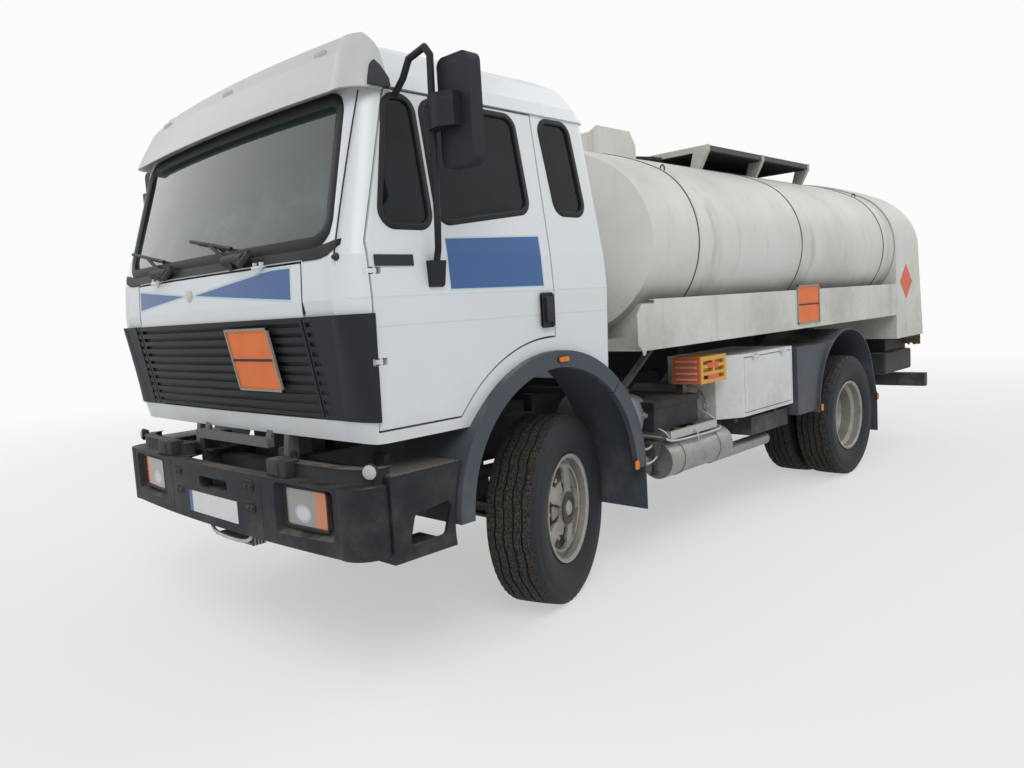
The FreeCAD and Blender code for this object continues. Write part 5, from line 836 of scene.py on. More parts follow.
quarterGlass = onSide(((285, 2022), (562, 2022), (552, 2580), (415, 2580)))
doorGlass = onSide(((618, 2040), (1220, 2120), (1200, 2580), (608, 2580)))
rearGlass = onSide(((1445, 2118), (1668, 2118), (1625, 2590), (1400, 2590)))
screenGlass = [(-1.045, 1.960), (1.045, 1.960), (0.985, 2.590), (-0.985, 2.590)]
for side, word in ((1, "left"), (-1, "right")):
    seal("quarterSeal." + word, quarterGlass, 0.06, side, "door_" + word)
    seal("doorSeal." + word, doorGlass, 0.06, side, "door_" + word)
    seal("rearSeal." + word, rearGlass, 0.06, side, "cab")
seal("screenSeal", screenGlass, 0.09, "front", "cab", over=0.030, out=0.026, rise=0.008)
print("seals laid")

# plates and placards
def frontPlate(lo, hi, depth, y, soft=0.002):  # a plate that faces -Y
    return slab((lo[0], y - depth, lo[1]), (hi[0], y, hi[1]), soft)


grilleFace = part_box("grille")[0].y
signSet = {"wide": 0.40, "tall": 0.30, "rim": 0.012}


def warningPlate(name, place, body):  # a blank two-part plate in a thin frame; place maps (u, v, w) to a point
    w, t, r = signSet["wide"], signSet["tall"], signSet["rim"]

    def part(u0, u1, v0, v1, w0, w1):
        loop = [(u0, v0), (u1, v0), (u1, v1), (u0, v1)]
        return prism(loop, w1 - w0, lambda u, v, d: place(u, v, w0 + d))
    rim = [part(0, w, 0, r, 0, 0.012), part(0, w, t - r, t, 0, 0.012), part(0, r, 0, t, 0, 0.012), part(w - r, w, 0, t, 0, 0.012)]
    solidPiece(name + "Frame", joined(rim), signFrame, body)
    solidPiece(name + "Face", joined([part(r, w - r, r, t / 2 - 0.004, 0, 0.006), part(r, w - r, t / 2 + 0.004, t - r, 0, 0.006)]), signOrange, body)
    solidPiece(name + "Bar", part(r, w - r, t / 2 - 0.006, t / 2 + 0.006, 0, 0.008), blackPaint, body)


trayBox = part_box("trays")
flapLift = grilleFace - 0.004
warningPlate("frontSign", lambda u, v, d: (0.232 + u, flapLift - d + (1.66 - 1.318 - v) * 0.20, 1.318 + v), "front_flap")
for side, word in ((1, "left"), (-1, "right")):
    warningPlate("sideSign." + word, lambda u, v, d: (side * (trayBox[1].x + d - 0.001), at(4.170 if side > 0 else 4.570) + (u if side > 0 else -u), 1.375 + v), "chassis")
    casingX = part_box("tail_casing")[1].x
    half = 0.19
    diamond = [(0, -half), (half, 0), (0, half), (-half, 0)]
    inner = [(u * 0.90, v * 0.90) for u, v in diamond]
    toSide = lambda u, v, d: (side * (casingX - 0.001 + d), at(6.640) + u, 1.66 + v)
    solidPiece("placardEdge." + word, prism(diamond, 0.004, toSide), plateWhite, "chassis")
    solidPiece("placard." + word, prism(inner, 0.007, toSide), signRed, "chassis")

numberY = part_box("bumper")[0].y
solidPiece("numberPlate", frontPlate((-0.225, 0.668), (0.26, 0.780), 0.006, numberY + 0.004), plateWhite, "chassis")
solidPiece("numberPlateBand", frontPlate((-0.262, 0.668), (-0.222, 0.780), 0.006, numberY + 0.004), plateBlue, "chassis")
print("plates made")

# the nose leans back towards its foot: copies of its pieces are sheared, most at the front and none at the doors
leanSet = {"slope": 0.20, "top": 1.66, "front": 0.05, "doors": 0.20, "foot": 1.085, "slantOut": 0.075, "slant": (0.93, 1.035)}


def leaned(x, y, z):
    along = y - noseY
    share = min(1, max(0, (leanSet["doors"] - along) / (leanSet["doors"] - leanSet["front"])))
    fade = min(1, max(0, (z - leanSet["foot"]) / 0.014))
    return y + max(0, leanSet["top"] - z) * leanSet["slope"] * share * fade


def squared(x, z):  # the corner panels' slanting edge is made steeper
    top, low = leanSet["slant"]
    t = min(1, max(0, (1.655 - z) / 0.458))
    line, new = top + (low - top) * t, top + (low - top) * t - leanSet["slantOut"] * t
    a = abs(x)
    if 0.88 < a <= line:
        a = 0.88 + (a - 0.88) * (new - 0.88) / (line - 0.88)
    elif line < a < 1.20:
        a = new + (a - line) * (1.20 - new) / (1.20 - line)
    return math.copysign(a, x)


def leanedCopy(node, body):
    mesh = nodes[node].data.copy()
    for v in mesh.vertices:
        x, y, z = v.co
        v.co.y = leaned(x, y, z)
        if node == "corner_panels" and y - noseY < 0.14:
            v.co.x = squared(x, z)
    piece = bpy.data.objects.new("leaning." + node, mesh)
    scene.collection.objects.link(piece)
    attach(piece, body)
    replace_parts(piece, node)


for node, body in (("cab_front", "cab"), ("cab_floor", "cab"), ("corner_panels", "cab"), ("flap_panel", "front_flap"), ("grille", "front_flap")):
    leanedCopy(node, body)
print("nose leaned")


def hitFrom(start, way, tree=shellTree):
    return tree.ray_cast(Vector(start), Vector(way))[0]


# a dark cowl under the windscreen, its ends turned up round the corner of the glass
cowlSet = {"half": 1.13, "low": 1.892, "high": 1.948, "rise": 0.005, "steps": 56}


def cowlMesh():
    verts, faces, n = [], [], cowlSet["steps"]
    for i in range(n + 1):
        u = -cowlSet["half"] + 2 * cowlSet["half"] * i / n
        ends = max(0, (abs(u) - 0.98) / 0.15)
        low = cowlSet["low"] + 0.050 * ends ** 2
        for v, lift in ((low, -0.006), (low, cowlSet["rise"] * 0.7), (low + 0.008, cowlSet["rise"]), (cowlSet["high"] + 0.02 * ends, cowlSet["rise"]), (cowlSet["high"] + 0.02 * ends, -0.006)):
            hit = hitFrom((u, -6, v), (0, 1, 0))
            verts.append((u, hit.y - lift, v))
    for i in range(n):
        for j in range(5):
            faces.append((i * 5 + j, i * 5 + (j + 1) % 5, (i + 1) * 5 + (j + 1) % 5, (i + 1) * 5 + j))
    faces += [tuple(range(5)), tuple(range(n * 5, n * 5 + 5))]
    return meshOf(verts, faces)


solidPiece("cowl", cowlMesh(), rubber, "cab", True)
motorSet = {"places": ((-0.50, 1.945), (0.34, 1.950)), "long": 0.19, "thick": 0.026}
motors = []
for x, z in motorSet["places"]:
    y = hitFrom((x, -6, z), (0, 1, 0)).y
    t = motorSet["thick"]
    motors.append(tubeMesh([(x - motorSet["long"] / 2, y - t * 0.6, z - 0.006), (x, y - t * 0.8, z), (x + motorSet["long"] / 2, y - t * 0.7, z - 0.012)], t, 4))
    motors.append(tubeMesh([(x + 0.07, y - 0.028, z - 0.035), (x + 0.13, y - 0.04, z - 0.02), (x + 0.19, y - 0.034, z + 0.01)], 0.016, 3))
    motors.append(slab((x - 0.055, y - 0.034, z - 0.040), (x + 0.015, y - 0.004, z - 0.012), 0.008))
solidPiece("wiperMotors", joined(motors), blackPaint, "cab", True)

# the round boss between the wedges, plain
bossSet = {"x": -0.150, "z": 1.797, "radius": 0.031}
flapTree = treeOf(["flap_panel"])
bossY = hitFrom((bossSet["x"], -6, bossSet["z"]), (0, 1, 0), flapTree).y
r = bossSet["radius"]
bossShape = cap([(-0.002, r), (0.003, r), (0.005, r * 0.93), (0.0042, r * 0.78), (0.0075, r * 0.5), (0.0085, r * 0.2)], 36)
turnToFront = Matrix.Translation((bossSet["x"], bossY, bossSet["z"])) @ Matrix.Rotation(-math.pi / 2, 4, "Z")
solidPiece("flapBoss", moved(bossShape, turnToFront), zinc, "front_flap", True)

# black strips that close the seams at the flap's ends
stripSet = {"x": 0.8745, "wide": 0.008}
strips = []
for side in (1, -1):
    pts = []
    for i in range(9):
        z = 1.668 + (1.885 - 1.668) * i / 8
        hit = hitFrom((side * (stripSet["x"] + 0.012), -6, z), (0, 1, 0))
        pts.append((side * stripSet["x"], hit.y + 0.006, z))
    strips.append(tubeMesh(pts, stripSet["wide"], 2))
solidPiece("flapSeams", joined(strips), rubber, "cab", True)

# thin rod beside the windscreen
rodSet = {"foot": (1.118, 1.893), "top": (1.112, 2.600), "radius": 0.0035}
a = hitFrom((rodSet["foot"][0], -6, rodSet["foot"][1]), (0, 1, 0))
b = hitFrom((1.06, -6, 2.597), (0, 1, 0))
rodMiddle = (a + b) / 2 + Vector((0.012, -0.020, 0))
solidPiece("screenRod", tubeMesh([a + Vector((0, -0.012, 0)), rodMiddle, b + Vector((0.03, -0.010, -0.004))], rodSet["radius"], 2), blackPaint, "cab", True)
solidPiece("screenRodFoot", joined([moved(cap([(-0.004, 0.017), (0.004, 0.017), (0.012, 0.010), (0.018, 0.009), (0.020, 0.004)], 24), Matrix.Translation(a) @ Matrix.Rotation(-math.pi / 2, 4, "Z"))]), blackPaint, "cab", True)

# visor: clearance lamps and a dark bracket at each end
visorTree = treeOf(["visor"])
lampsOn = []
for x in (0.80, 0.0, -0.80):
    hit = hitFrom((x, -6, 2.815), (0, 1, 0), visorTree)
    lampsOn.append(slab((x - 0.045, hit.y - 0.012, 2.800), (x + 0.045, hit.y + 0.006, 2.828), 0.007))
solidPiece("visorLamps", joined(lampsOn), clearLens, "cab", True)
brackets = []
for side in (1, -1):
    hit = hitFrom((side * 3, at(0.385), 2.655), (-side, 0, 0), visorTree)
    base = hit.x * side if hit else 1.13
    prof = [(at(0.315), 2.612), (at(0.425), 2.612), (at(0.428), 2.650), (at(0.40), 2.700), (at(0.375), 2.722), (at(0.352), 2.700), (at(0.325), 2.640)]
    brackets.append(prism(prof, 0.012, lambda u, v, d: (side * (base - 0.003 + d + (2.655 - v) * 0.30), u, v), 0.003))
solidPiece("visorBrackets", joined(brackets), blackPaint, "cab")
print("nose dressed")

# doors: handle in its black shell, a bare plate ahead of it
handleSet = {"y": (1.226, 1.314), "z": (1.530, 1.706), "rise": 0.010}
doorTree = treeOf(["door_left", "door_right"])


def onDoor(side, y, z):
    hit = doorTree.ray_cast(Vector((side * 3, y, z)), Vector((-side, 0, 0)))[0]
    return hit.x * side if hit else 1.215


for side, word in ((1, "left"), (-1, "right")):
    body = "door_" + word
    (y0, y1), (z0, z1) = handleSet["y"], handleSet["z"]
    y0, y1 = at(y0), at(y1)
    base = max(onDoor(side, (y0 + y1) / 2, z0 + 0.01), onDoor(side, (y0 + y1) / 2, z1 - 0.01))
    place = lambda u, v, d: (side * (base - 0.004 + d), u, v)
    shell = prism(roundLoop([(y0, z0), (y1, z0), (y1, z1), (y0, z1)], 0.012), 0.004 + handleSet["rise"] * 0.5, place, 0.002)
    rimBars = [prism([(y0, z0 + 0.012), (y0 + 0.014, z0 + 0.012), (y0 + 0.014, z1 - 0.012), (y0, z1 - 0.012)], 0.004 + handleSet["rise"], place, 0.003),
               prism([(y1 - 0.014, z0 + 0.012), (y1, z0 + 0.012), (y1, z1 - 0.012), (y1 - 0.014, z1 - 0.012)], 0.004 + handleSet["rise"], place, 0.003)]
    grip = prism(roundLoop([(y0 + 0.020, z0 + 0.030), (y1 - 0.020, z0 + 0.030), (y1 - 0.020, z1 - 0.020), (y0 + 0.020, z1 - 0.020)], 0.009), 0.026, place, 0.005)
    solidPiece("handleShell." + word, joined([shell] + rimBars), rubber, body)
    solidPiece("handleGrip." + word, grip, blackPaint, body, True)
    y0, y1, z0, z1 = at(0.225), at(0.430), 1.849, 1.894
    base = onDoor(side, (y0 + y1) / 2, (z0 + z1) / 2)
    solidPiece("barePlate." + word, prism([(y0, z0), (y1, z0), (y1, z1), (y0, z1)], 0.010, lambda u, v, d: (side * (base - 0.006 + d + (z1 - v) * 0.055), u, v), 0.0015), blackPaint, body)
print("doors dressed")

# bumper: bolts in pairs, seams, feet and a ledge on top, a round lamp at each end
bumperSet = {"boltX": (-0.385, 0.385), "boltZ": (0.766, 0.872), "seamX": 0.49, "boltRadius": 0.013}
bumperTree = treeOf(["bumper"])


def bumperY(x, z):
    hit = bumperTree.ray_cast(Vector((x, -6, z)), Vector((0, 1, 0)))[0]
    return hit.y if hit else at(0.0)


facing = Matrix.Rotation(math.pi / 2, 4, "X")  # local Z put towards the front
boltHeads, cups = [], []
for x in bumperSet["boltX"]:
    for z in bumperSet["boltZ"]:
        y = bumperY(x, z)
        for off in (-0.020, 0.020):
            boltHeads.append(moved(bolt(bumperSet["boltRadius"], 0.012), Matrix.Translation((x + off, y, z)) @ facing))
        ring = [(x + 0.045 * math.cos(t) , y - 0.001, z + 0.027 * math.sin(t)) for t in [2 * math.pi * k / 20 for k in range(20)]]
        cups.append(tubeMesh(ring, 0.0035, 2, True))
solidPiece("bumperBolts", joined(boltHeads), blackPaint, "chassis")
solidPiece("bumperCups", joined(cups), finish["dark_plastic"], "chassis", True)
seams = []
for x in (-bumperSet["seamX"], bumperSet["seamX"]):
    pts = [(x, bumperY(x, 0.625 + 0.30 * k / 6) + 0.0008, 0.625 + 0.30 * k / 6) for k in range(7)]
    seams.append(tubeMesh(pts + [(x, at(0.02), 0.9295), (x, at(0.065), 0.930)], 0.0022, 2))
solidPiece("bumperSeams", joined(seams), rubber, "chassis", True)
ledge, feet = [], []
for side in (1, -1):
    spine = [(0.46, 0.085), (0.78, 0.088), (1.00, 0.100), (1.10, 0.122), (1.165, 0.165), (1.180, 0.205)]
    back = [(x - 0.012, y + 0.052) for x, y in reversed(spine)]
    loop = [(side * x, at(y)) for x, y in spine + back]
    ledge.append(prism(loop, 0.072, lambda u, v, d: (u, v, 0.926 + d), 0.006))
    feet.append(slab((side * 0.605 - 0.085, at(0.030), 0.928), (side * 0.605 + 0.085, at(0.112), 1.012), 0.010))
    feet.append(slab((side * 0.605 - 0.070, at(0.024), 0.940), (side * 0.605 + 0.030, at(0.034), 1.000), 0.004))
solidPiece("bumperLedge", joined(ledge), blackPaint, "chassis", True)
solidPiece("bumperFeet", joined(feet), blackPaint, "chassis", True)
markers, lenses = [], []
for side in (1, -1):
    where = Vector((side * 1.178, at(0.150), 0.992))
    turn = Matrix.Translation(where) @ Matrix.Rotation(math.radians(-62 if side > 0 else -118), 4, "Z")
    markers.append(moved(cap([(-0.026, 0.024), (0.002, 0.036), (0.009, 0.036), (0.011, 0.033)], 36), turn))
    lenses.append(moved(cap([(0.007, 0.032), (0.014, 0.031), (0.020, 0.024), (0.023, 0.009)], 36), turn))
solidPiece("endMarkers", joined(markers), rubber, "chassis", True)
solidPiece("endMarkerLenses", joined(lenses), clearLens, "chassis", True)

# folding step under the middle of the bumper
foldSet = {"x": (-0.03, 0.345), "z": 0.566, "y": (0.020, 0.090)}
x0, x1 = foldSet["x"]
y0, y1 = at(foldSet["y"][0]), at(foldSet["y"][1])
z = foldSet["z"]
frameRun = [(x0 - 0.13, y0 + 0.03, 0.632), (x0 - 0.09, y0 + 0.02, 0.605), (x0, y0, z + 0.006), (x1, y0, z + 0.006), (x1 + 0.004, y0, 0.630)]
solidPiece("foldingStepBar", tubeMesh(frameRun, 0.0095, 3), zinc, "chassis", True)
solidPiece("foldingStepTread", joined([slab((x0 - 0.01, y0, z), (x1, y1, z + 0.012), 0.003), slab((x1 - 0.006, y0, z), (x1 + 0.006, y1, 0.640), 0.003)]), tread, "chassis")

# treads on the side steps
treadSet = {"across": (0.975, 1.222), "along": (0.222, 0.604), "top": 0.9625}
topTreads = []
for side in (1, -1):
    xs = sorted(side * x for x in treadSet["across"])
    y0, y1 = (at(y) for y in treadSet["along"])
    topTreads.append(slab((xs[0], y0, treadSet["top"] - 0.001), (xs[1], y1, treadSet["top"] + 0.003), 0.001))
solidPiece("sideTreads", joined(topTreads), tread, "chassis")
bezels = []
for side in (1, -1):
    loop = roundLoop([(side * 0.657, 0.719), (side * 0.973, 0.719), (side * 0.973, 0.899), (side * 0.657, 0.899)], 0.016) if side > 0 else [(-u, v) for u, v in roundLoop([(0.657, 0.719), (0.973, 0.719), (0.973, 0.899), (0.657, 0.899)], 0.016)]
    lampTree = treeOf(["lamps"])
    pts = []
    for u, v in loop[::2]:
        hit = hitFrom((u + math.copysign(0.012, side * 0.815 - u), -6, v + math.copysign(0.012, 0.809 - v)), (0, 1, 0), lampTree)
        pts.append((u, hit.y - 0.002, v))
    bezels.append(tubeMesh(pts, 0.0075, 2, True))
solidPiece("lampBezels", joined(bezels), rubber, "chassis", True)
print("bumper dressed")

# amber side markers, each in a thin black cup
amberSet = {"places": ((1.250, 1.349, 1.361, 0.036, 0.012), (1.242, 1.960, 0.690, 0.018, 0.026), (1.241, 4.560, 0.680, 0.018, 0.026), (1.241, 5.800, 0.620, 0.014, 0.026))}
cups, ambers = [], []
for side in (1, -1):
    for x, y, z, halfY, halfZ in amberSet["places"]:
        loop = roundLoop([(at(y) - halfY, z - halfZ), (at(y) + halfY, z - halfZ), (at(y) + halfY, z + halfZ), (at(y) - halfY, z + halfZ)], min(halfY, halfZ) * 0.8)
        ambers.append(prism(loop, 0.016, lambda u, v, d: (side * (x - 0.004 + d), u, v), 0.003))
        wide = [((u - at(y)) * 1.14 + at(y), (v - z) * 1.2 + z) for u, v in loop]
        cups.append(prism(wide, 0.008, lambda u, v, d: (side * (x - 0.004 + d), u, v), 0.001))
solidPiece("sideMarkers", joined(ambers), amber, "chassis", True)
solidPiece("sideMarkerCups", joined(cups), rubber, "chassis")

# tank: dark seams at the bands, small lifting eyes, two pipe stubs on the crown
tankTree = treeOf(["tank_shell"])
bandSet = {"at": (2.8017, 4.3300, 6.0888), "ahead": -0.012, "turns": 150, "thick": 0.0045}


def tankPoint(y, angle):
    way = Vector((math.sin(angle), 0, math.cos(angle)))
    start = Vector((0, y, 2.0)) + way * 3
    return tankTree.ray_cast(start, -way)[0]


seams, eyes = [], []
for y in bandSet["at"]:
    pts = []
    for k in range(bandSet["turns"] + 1):
        angle = math.radians(-128) + math.radians(256) * k / bandSet["turns"]
        hit = tankPoint(at(y) + bandSet["ahead"], angle)
        if hit:
            pts.append(hit)
    seams.append(tubeMesh(pts, bandSet["thick"], 1))
for side in (1, -1):
    for y in (2.8017 + 0.03, 6.0888 + 0.03):
        hit = tankPoint(at(y), side * math.radians(62))
        loop = [hit + Vector((side * 0.016 * math.sin(t) + side * 0.008, 0.006, 0.026 * math.cos(t))) for t in [2 * math.pi * k / 14 for k in range(14)]]
        eyes.append(tubeMesh(loop, 0.005, 2, True))
solidPiece("tankSeams", joined(seams), rubber, "chassis", True)
solidPiece("tankEyes", joined(eyes), blackPaint, "chassis", True)
hit = tankPoint(at(3.66), math.radians(11))
clutter = [tubeMesh([hit + Vector((-0.14, -0.12, 0.02)), hit + Vector((-0.02, -0.03, 0.045)), hit + Vector((0.10, 0.02, 0.03)), hit + Vector((0.20, 0.10, 0.01))], 0.022, 3),
           tubeMesh([hit + Vector((-0.06, 0.02, 0.02)), hit + Vector((0.04, 0.06, 0.05)), hit + Vector((0.16, 0.05, 0.025))], 0.016, 3)]
solidPiece("crownHose", joined(clutter), rubber, "chassis", True)

# walkway: a dark ribbed mat hangs between the straps
matSet = {"x": (0.205, 0.700), "y": (3.812, 5.608), "z": 2.741, "ribs": 34, "rib": 0.012}
mats = []
x0, x1 = matSet["x"]
y0, y1 = at(matSet["y"][0]), at(matSet["y"][1])
mats.append(slab((x0, y0, matSet["z"]), (x1, y1, matSet["z"] + 0.005), 0.001))
ribRow = repeated(rowTree, slab((-matSet["rib"] / 2, x0, matSet["z"] - 0.006), (matSet["rib"] / 2, x1, matSet["z"] + 0.001), 0.002), matSet["ribs"], (y1 - y0) / 2 - 0.02, blackPaint)
swap = Matrix(((0, 1, 0, 0), (1, 0, 0, (y0 + y1) / 2), (0, 0, 1, 0), (0, 0, 0, 1)))
mats.append(moved(ribRow, swap))
edge = slab((x1 + 0.014, y0 - 0.018, matSet["z"] + 0.000), (x1 + 0.020, y1 + 0.018, matSet["z"] + 0.040), 0.001)
solidPiece("walkwayMat", joined(mats + [edge]), blackPaint, "chassis")
print("tank dressed")

# equipment behind the cab: domed tanks, a worn tray with bars over the silencer, bent pipes
domeSet = {"front": (0.905, 2.395, 0.905, 0.135), "back": (0.905, 3.140, 0.870, 0.125)}
domes, studs = [], []
for x, y, z, r in domeSet.values():
    prof = [(-0.60, r * 0.96), (-0.58, r), (-0.02, r), (0.02, r * 0.97), (0.055, r * 0.86), (0.080, r * 0.66), (0.095, r * 0.40), (0.100, r * 0.12)]
    domes.append(moved(cap([(-0.30, r * 0.96), (-0.28, r)] + prof[2:], 56), Matrix.Translation((x, at(y), z))))
    studs.append(moved(cap([(0.094, 0.024), (0.112, 0.024), (0.114, 0.014), (0.128, 0.014), (0.130, 0.008)], 6), Matrix.Translation((x, at(y), z))))
solidPiece("airTankDomes", joined(domes), finish["tank_grey"], "chassis", True)
solidPiece("airTankPlugs", joined(studs), zinc, "chassis")
traySet = {"x": (0.93, 1.150), "y": (2.475, 3.055), "z": (0.742, 0.800), "sheet": 0.004}
(x0, x1), (y0, y1), (z0, z1) = traySet["x"], (at(traySet["y"][0]), at(traySet["y"][1])), traySet["z"]
s = traySet["sheet"]
walls = [slab((x0, y0, z0), (x1, y1, z0 + s), 0.001), slab((x1 - s, y0, z0), (x1, y1, z1), 0.001), slab((x0, y0, z0), (x0 + s, y1, z1 + 0.05), 0.001),
         slab((x0, y0, z0), (x1, y0 + s, z1), 0.001), slab((x0, y1 - s, z0), (x1, y1, z1), 0.001), slab((x1 - 0.014, y0, z1 - s), (x1, y1, z1), 0.001)]
solidPiece("silencerTray", joined(walls), zinc, "chassis")
bars = [tubeMesh([(x0 + 0.02, at(2.40), 0.775), (x1 - 0.01, at(2.42), 0.770), (x1 + 0.012, at(2.46), 0.735), (x1 + 0.014, at(2.80), 0.728), (x1 + 0.012, at(3.09), 0.728), (x1 - 0.02, at(3.12), 0.745), (x0, at(3.12), 0.76)], 0.0075, 3),
        tubeMesh([(x0 + 0.02, at(2.44), 0.90), (x0 + 0.10, at(2.44), 0.83), (x1 - 0.02, at(2.46), 0.80), (x1 - 0.01, at(2.47), 0.76)], 0.006, 3),
        tubeMesh([(x0 + 0.03, at(3.02), 0.885), (x0 + 0.12, at(3.03), 0.86), (x1 - 0.01, at(3.04), 0.80)], 0.006, 3),
        tubeMesh([(x1 - 0.05, at(2.76), 0.79), (x1 + 0.01, at(2.77), 0.775), (x1 + 0.018, at(2.775), 0.735), (x1 + 0.015, at(2.78), 0.70)], 0.006, 3),
        tubeMesh([(1.16, at(2.02), 0.86), (1.17, at(2.10), 0.83), (1.16, at(2.16), 0.745), (1.13, at(2.24), 0.72), (1.10, at(2.34), 0.73)], 0.007, 3),
        tubeMesh([(1.15, at(2.05), 0.72), (1.16, at(2.14), 0.655), (1.16, at(2.24), 0.64), (1.13, at(2.34), 0.66)], 0.0065, 3)]
solidPiece("brakePipes", joined(bars), zinc, "chassis", True)
valve = [slab((1.03, at(2.335), 0.655), (1.125, at(2.415), 0.745), 0.014), tubeMesh([(1.10, at(2.36), 0.66), (1.10, at(2.36), 0.56)], 0.020, 4), tubeMesh([(1.10, at(2.36), 0.56), (1.10, at(2.36), 0.54)], 0.030, 4),
         tubeMesh([(1.06, at(2.38), 0.72), (1.12, at(2.38), 0.77), (1.14, at(2.44), 0.755)], 0.012, 3)]
solidPiece("brakeValve", joined(valve), blackPaint, "chassis", True)

# signal rack: red slots and a red inner end
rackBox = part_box("signal_rack")
slots = [slab((rackBox[1].x - 0.002, at(2.905), z), (rackBox[1].x + 0.002, at(3.045), z + 0.030), 0.001) for z in (1.165, 1.085)]
ends = slab((rackBox[0].x + 0.01, rackBox[0].y - 0.003, 1.065), (rackBox[1].x - 0.008, rackBox[0].y + 0.002, 1.235), 0.001)
ribs = [slab((rackBox[0].x + 0.03, rackBox[0].y - 0.010, z), (rackBox[1].x - 0.03, rackBox[0].y - 0.002, z + 0.012), 0.002) for z in (1.085, 1.125, 1.165, 1.205)]
solidPiece("rackSlots", joined(slots + [ends]), signRed, "chassis")
solidPiece("rackRibs", joined(ribs), clearLens, "chassis")

# tail: dark housing over the rear bar, a stiff brown flap under the casing
tailSet = {"housing": ((-1.02, 6.62, 0.955), (1.04, 7.22, 1.085)), "box": ((0.60, 6.47, 0.745), (1.09, 7.24, 0.958))}
lo, hi = tailSet["housing"]
tailParts = [slab((lo[0], at(lo[1]), lo[2]), (hi[0], at(hi[1]), hi[2]), 0.012)]
lo, hi = tailSet["box"]
for side in (1, -1):
    xs = sorted((side * lo[0], side * hi[0]))
    tailParts.append(slab((xs[0], at(lo[1]), lo[2]), (xs[1], at(hi[1]), hi[2]), 0.02))
solidPiece("tailHousing", joined(tailParts), blackPaint, "chassis")


def draped(width, rise, place, waves, seed):  # a creased strip hanging from its top edge
    rnd = random.Random(seed)
    lean = [rnd.uniform(-1, 1) for _ in range(9)]
    verts, faces, n, m = [], [], 28, 14
    for layer in (0, 1):
        for i in range(n + 1):
            for j in range(m + 1):
                u, v = i / n, j / m
                swell = sum(lean[k] * math.sin((k + 1) * 2.3 * u + k * v * 2.1 + k) for k in range(9)) * waves * v / 3
                verts.append(place(u * width, -v * rise * (1 + 0.12 * lean[i % 9]), swell + layer * 0.003))
    size = (n + 1) * (m + 1)
    for layer in (0, 1):
        for i in range(n):
            for j in range(m):
                a = layer * size + i * (m + 1) + j
                faces.append((a, a + 1, a + m + 2, a + m + 1))
    ring = [i * (m + 1) for i in range(n + 1)] + [n * (m + 1) + j for j in range(1, m + 1)] + [i * (m + 1) + m for i in range(n - 1, -1, -1)] + [j for j in range(m - 1, 0, -1)]
    faces += [(ring[k], ring[(k + 1) % len(ring)], size + ring[(k + 1) % len(ring)], size + ring[k]) for k in range(len(ring))]
    return meshOf(verts, faces)


flapParts = [draped(0.46, 0.12, lambda u, v, d: (1.20 - u, at(7.178) + d * 0.5, 1.118 + v), 0.020, 3)]
solidPiece("tailFlap", joined(flapParts), brownFlap, "chassis", True)
print("equipment made")

# seats and bunk: padded shapes filled by a short cloth simulation, then sewn channels pressed in
padSet = {"voxel": 0.011, "pressure": 4.0, "cap": 0.024, "frames": 20, "inset": 0.016, "channel": 0.009, "channelWide": 0.010}


def evaluatedMesh(obj):
    return bpy.data.meshes.new_from_object(obj.evaluated_get(bpy.context.evaluated_depsgraph_get()))


def pad(name, profile, x0, x1, channels, voxel=None):  # profile is (y, z) round the side of the pad
    centre = sum((Vector(p) for p in profile), Vector((0, 0))) / len(profile)
    inset = padSet["inset"]
    small = []
    for p in profile:
        way = (centre - Vector(p)).normalized()
        small.append(tuple(Vector(p) + way * inset * 1.3))
    shape = prism(small, x1 - x0 - 2 * inset, lambda u, v, d: (x0 + inset + d, u, v), 0.026)
    piece = bpy.data.objects.new(name, shape)
    scene.collection.objects.link(piece)
    mod = piece.modifiers.new("voxels", "REMESH")
    mod.mode, mod.voxel_size = "VOXEL", voxel or padSet["voxel"]
    mesh = evaluatedMesh(piece)
    piece.modifiers.clear()
    piece.data = mesh
    before = [v.co.copy() for v in mesh.vertices]
    cloth = piece.modifiers.new("filling", "CLOTH")
    cloth.settings.use_pressure = True
    cloth.settings.uniform_pressure_force = padSet["pressure"]
    cloth.settings.effector_weights.gravity = 0
    cloth.point_cache.frame_end = padSet["frames"]
    for step in range(1, padSet["frames"] + 1):
        scene.frame_set(step)
    swollen = evaluatedMesh(piece)
    piece.modifiers.clear()
    scene.frame_set(1)
    for v, old in zip(swollen.vertices, before):
        way = v.co - old
        if way.length > padSet["cap"]:
            v.co = old + way * (padSet["cap"] / way.length)
        v.co.x = min(x1, max(x0, v.co.x))
    piece.data = swollen
    soft = piece.modifiers.new("finer", "SUBSURF")
    soft.levels = soft.render_levels = 1
    mesh = evaluatedMesh(piece)
    piece.modifiers.clear()
    piece.data = mesh
    for v in mesh.vertices:  # channels run across or along, pressed towards the middle of the pad
        for axis, where in channels:
            press = math.exp(-((v.co[axis] - where) / padSet["channelWide"]) ** 2) * padSet["channel"]
            way = Vector((0, centre.x, centre.y)) - Vector((0, v.co.y, v.co.z))
            v.co += way.normalized() * press
    for face in mesh.polygons:
        face.use_smooth = True
    mesh.materials.clear()
    mesh.materials.append(finish["seat_fabric"])
    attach(piece, "cab")
    return piece


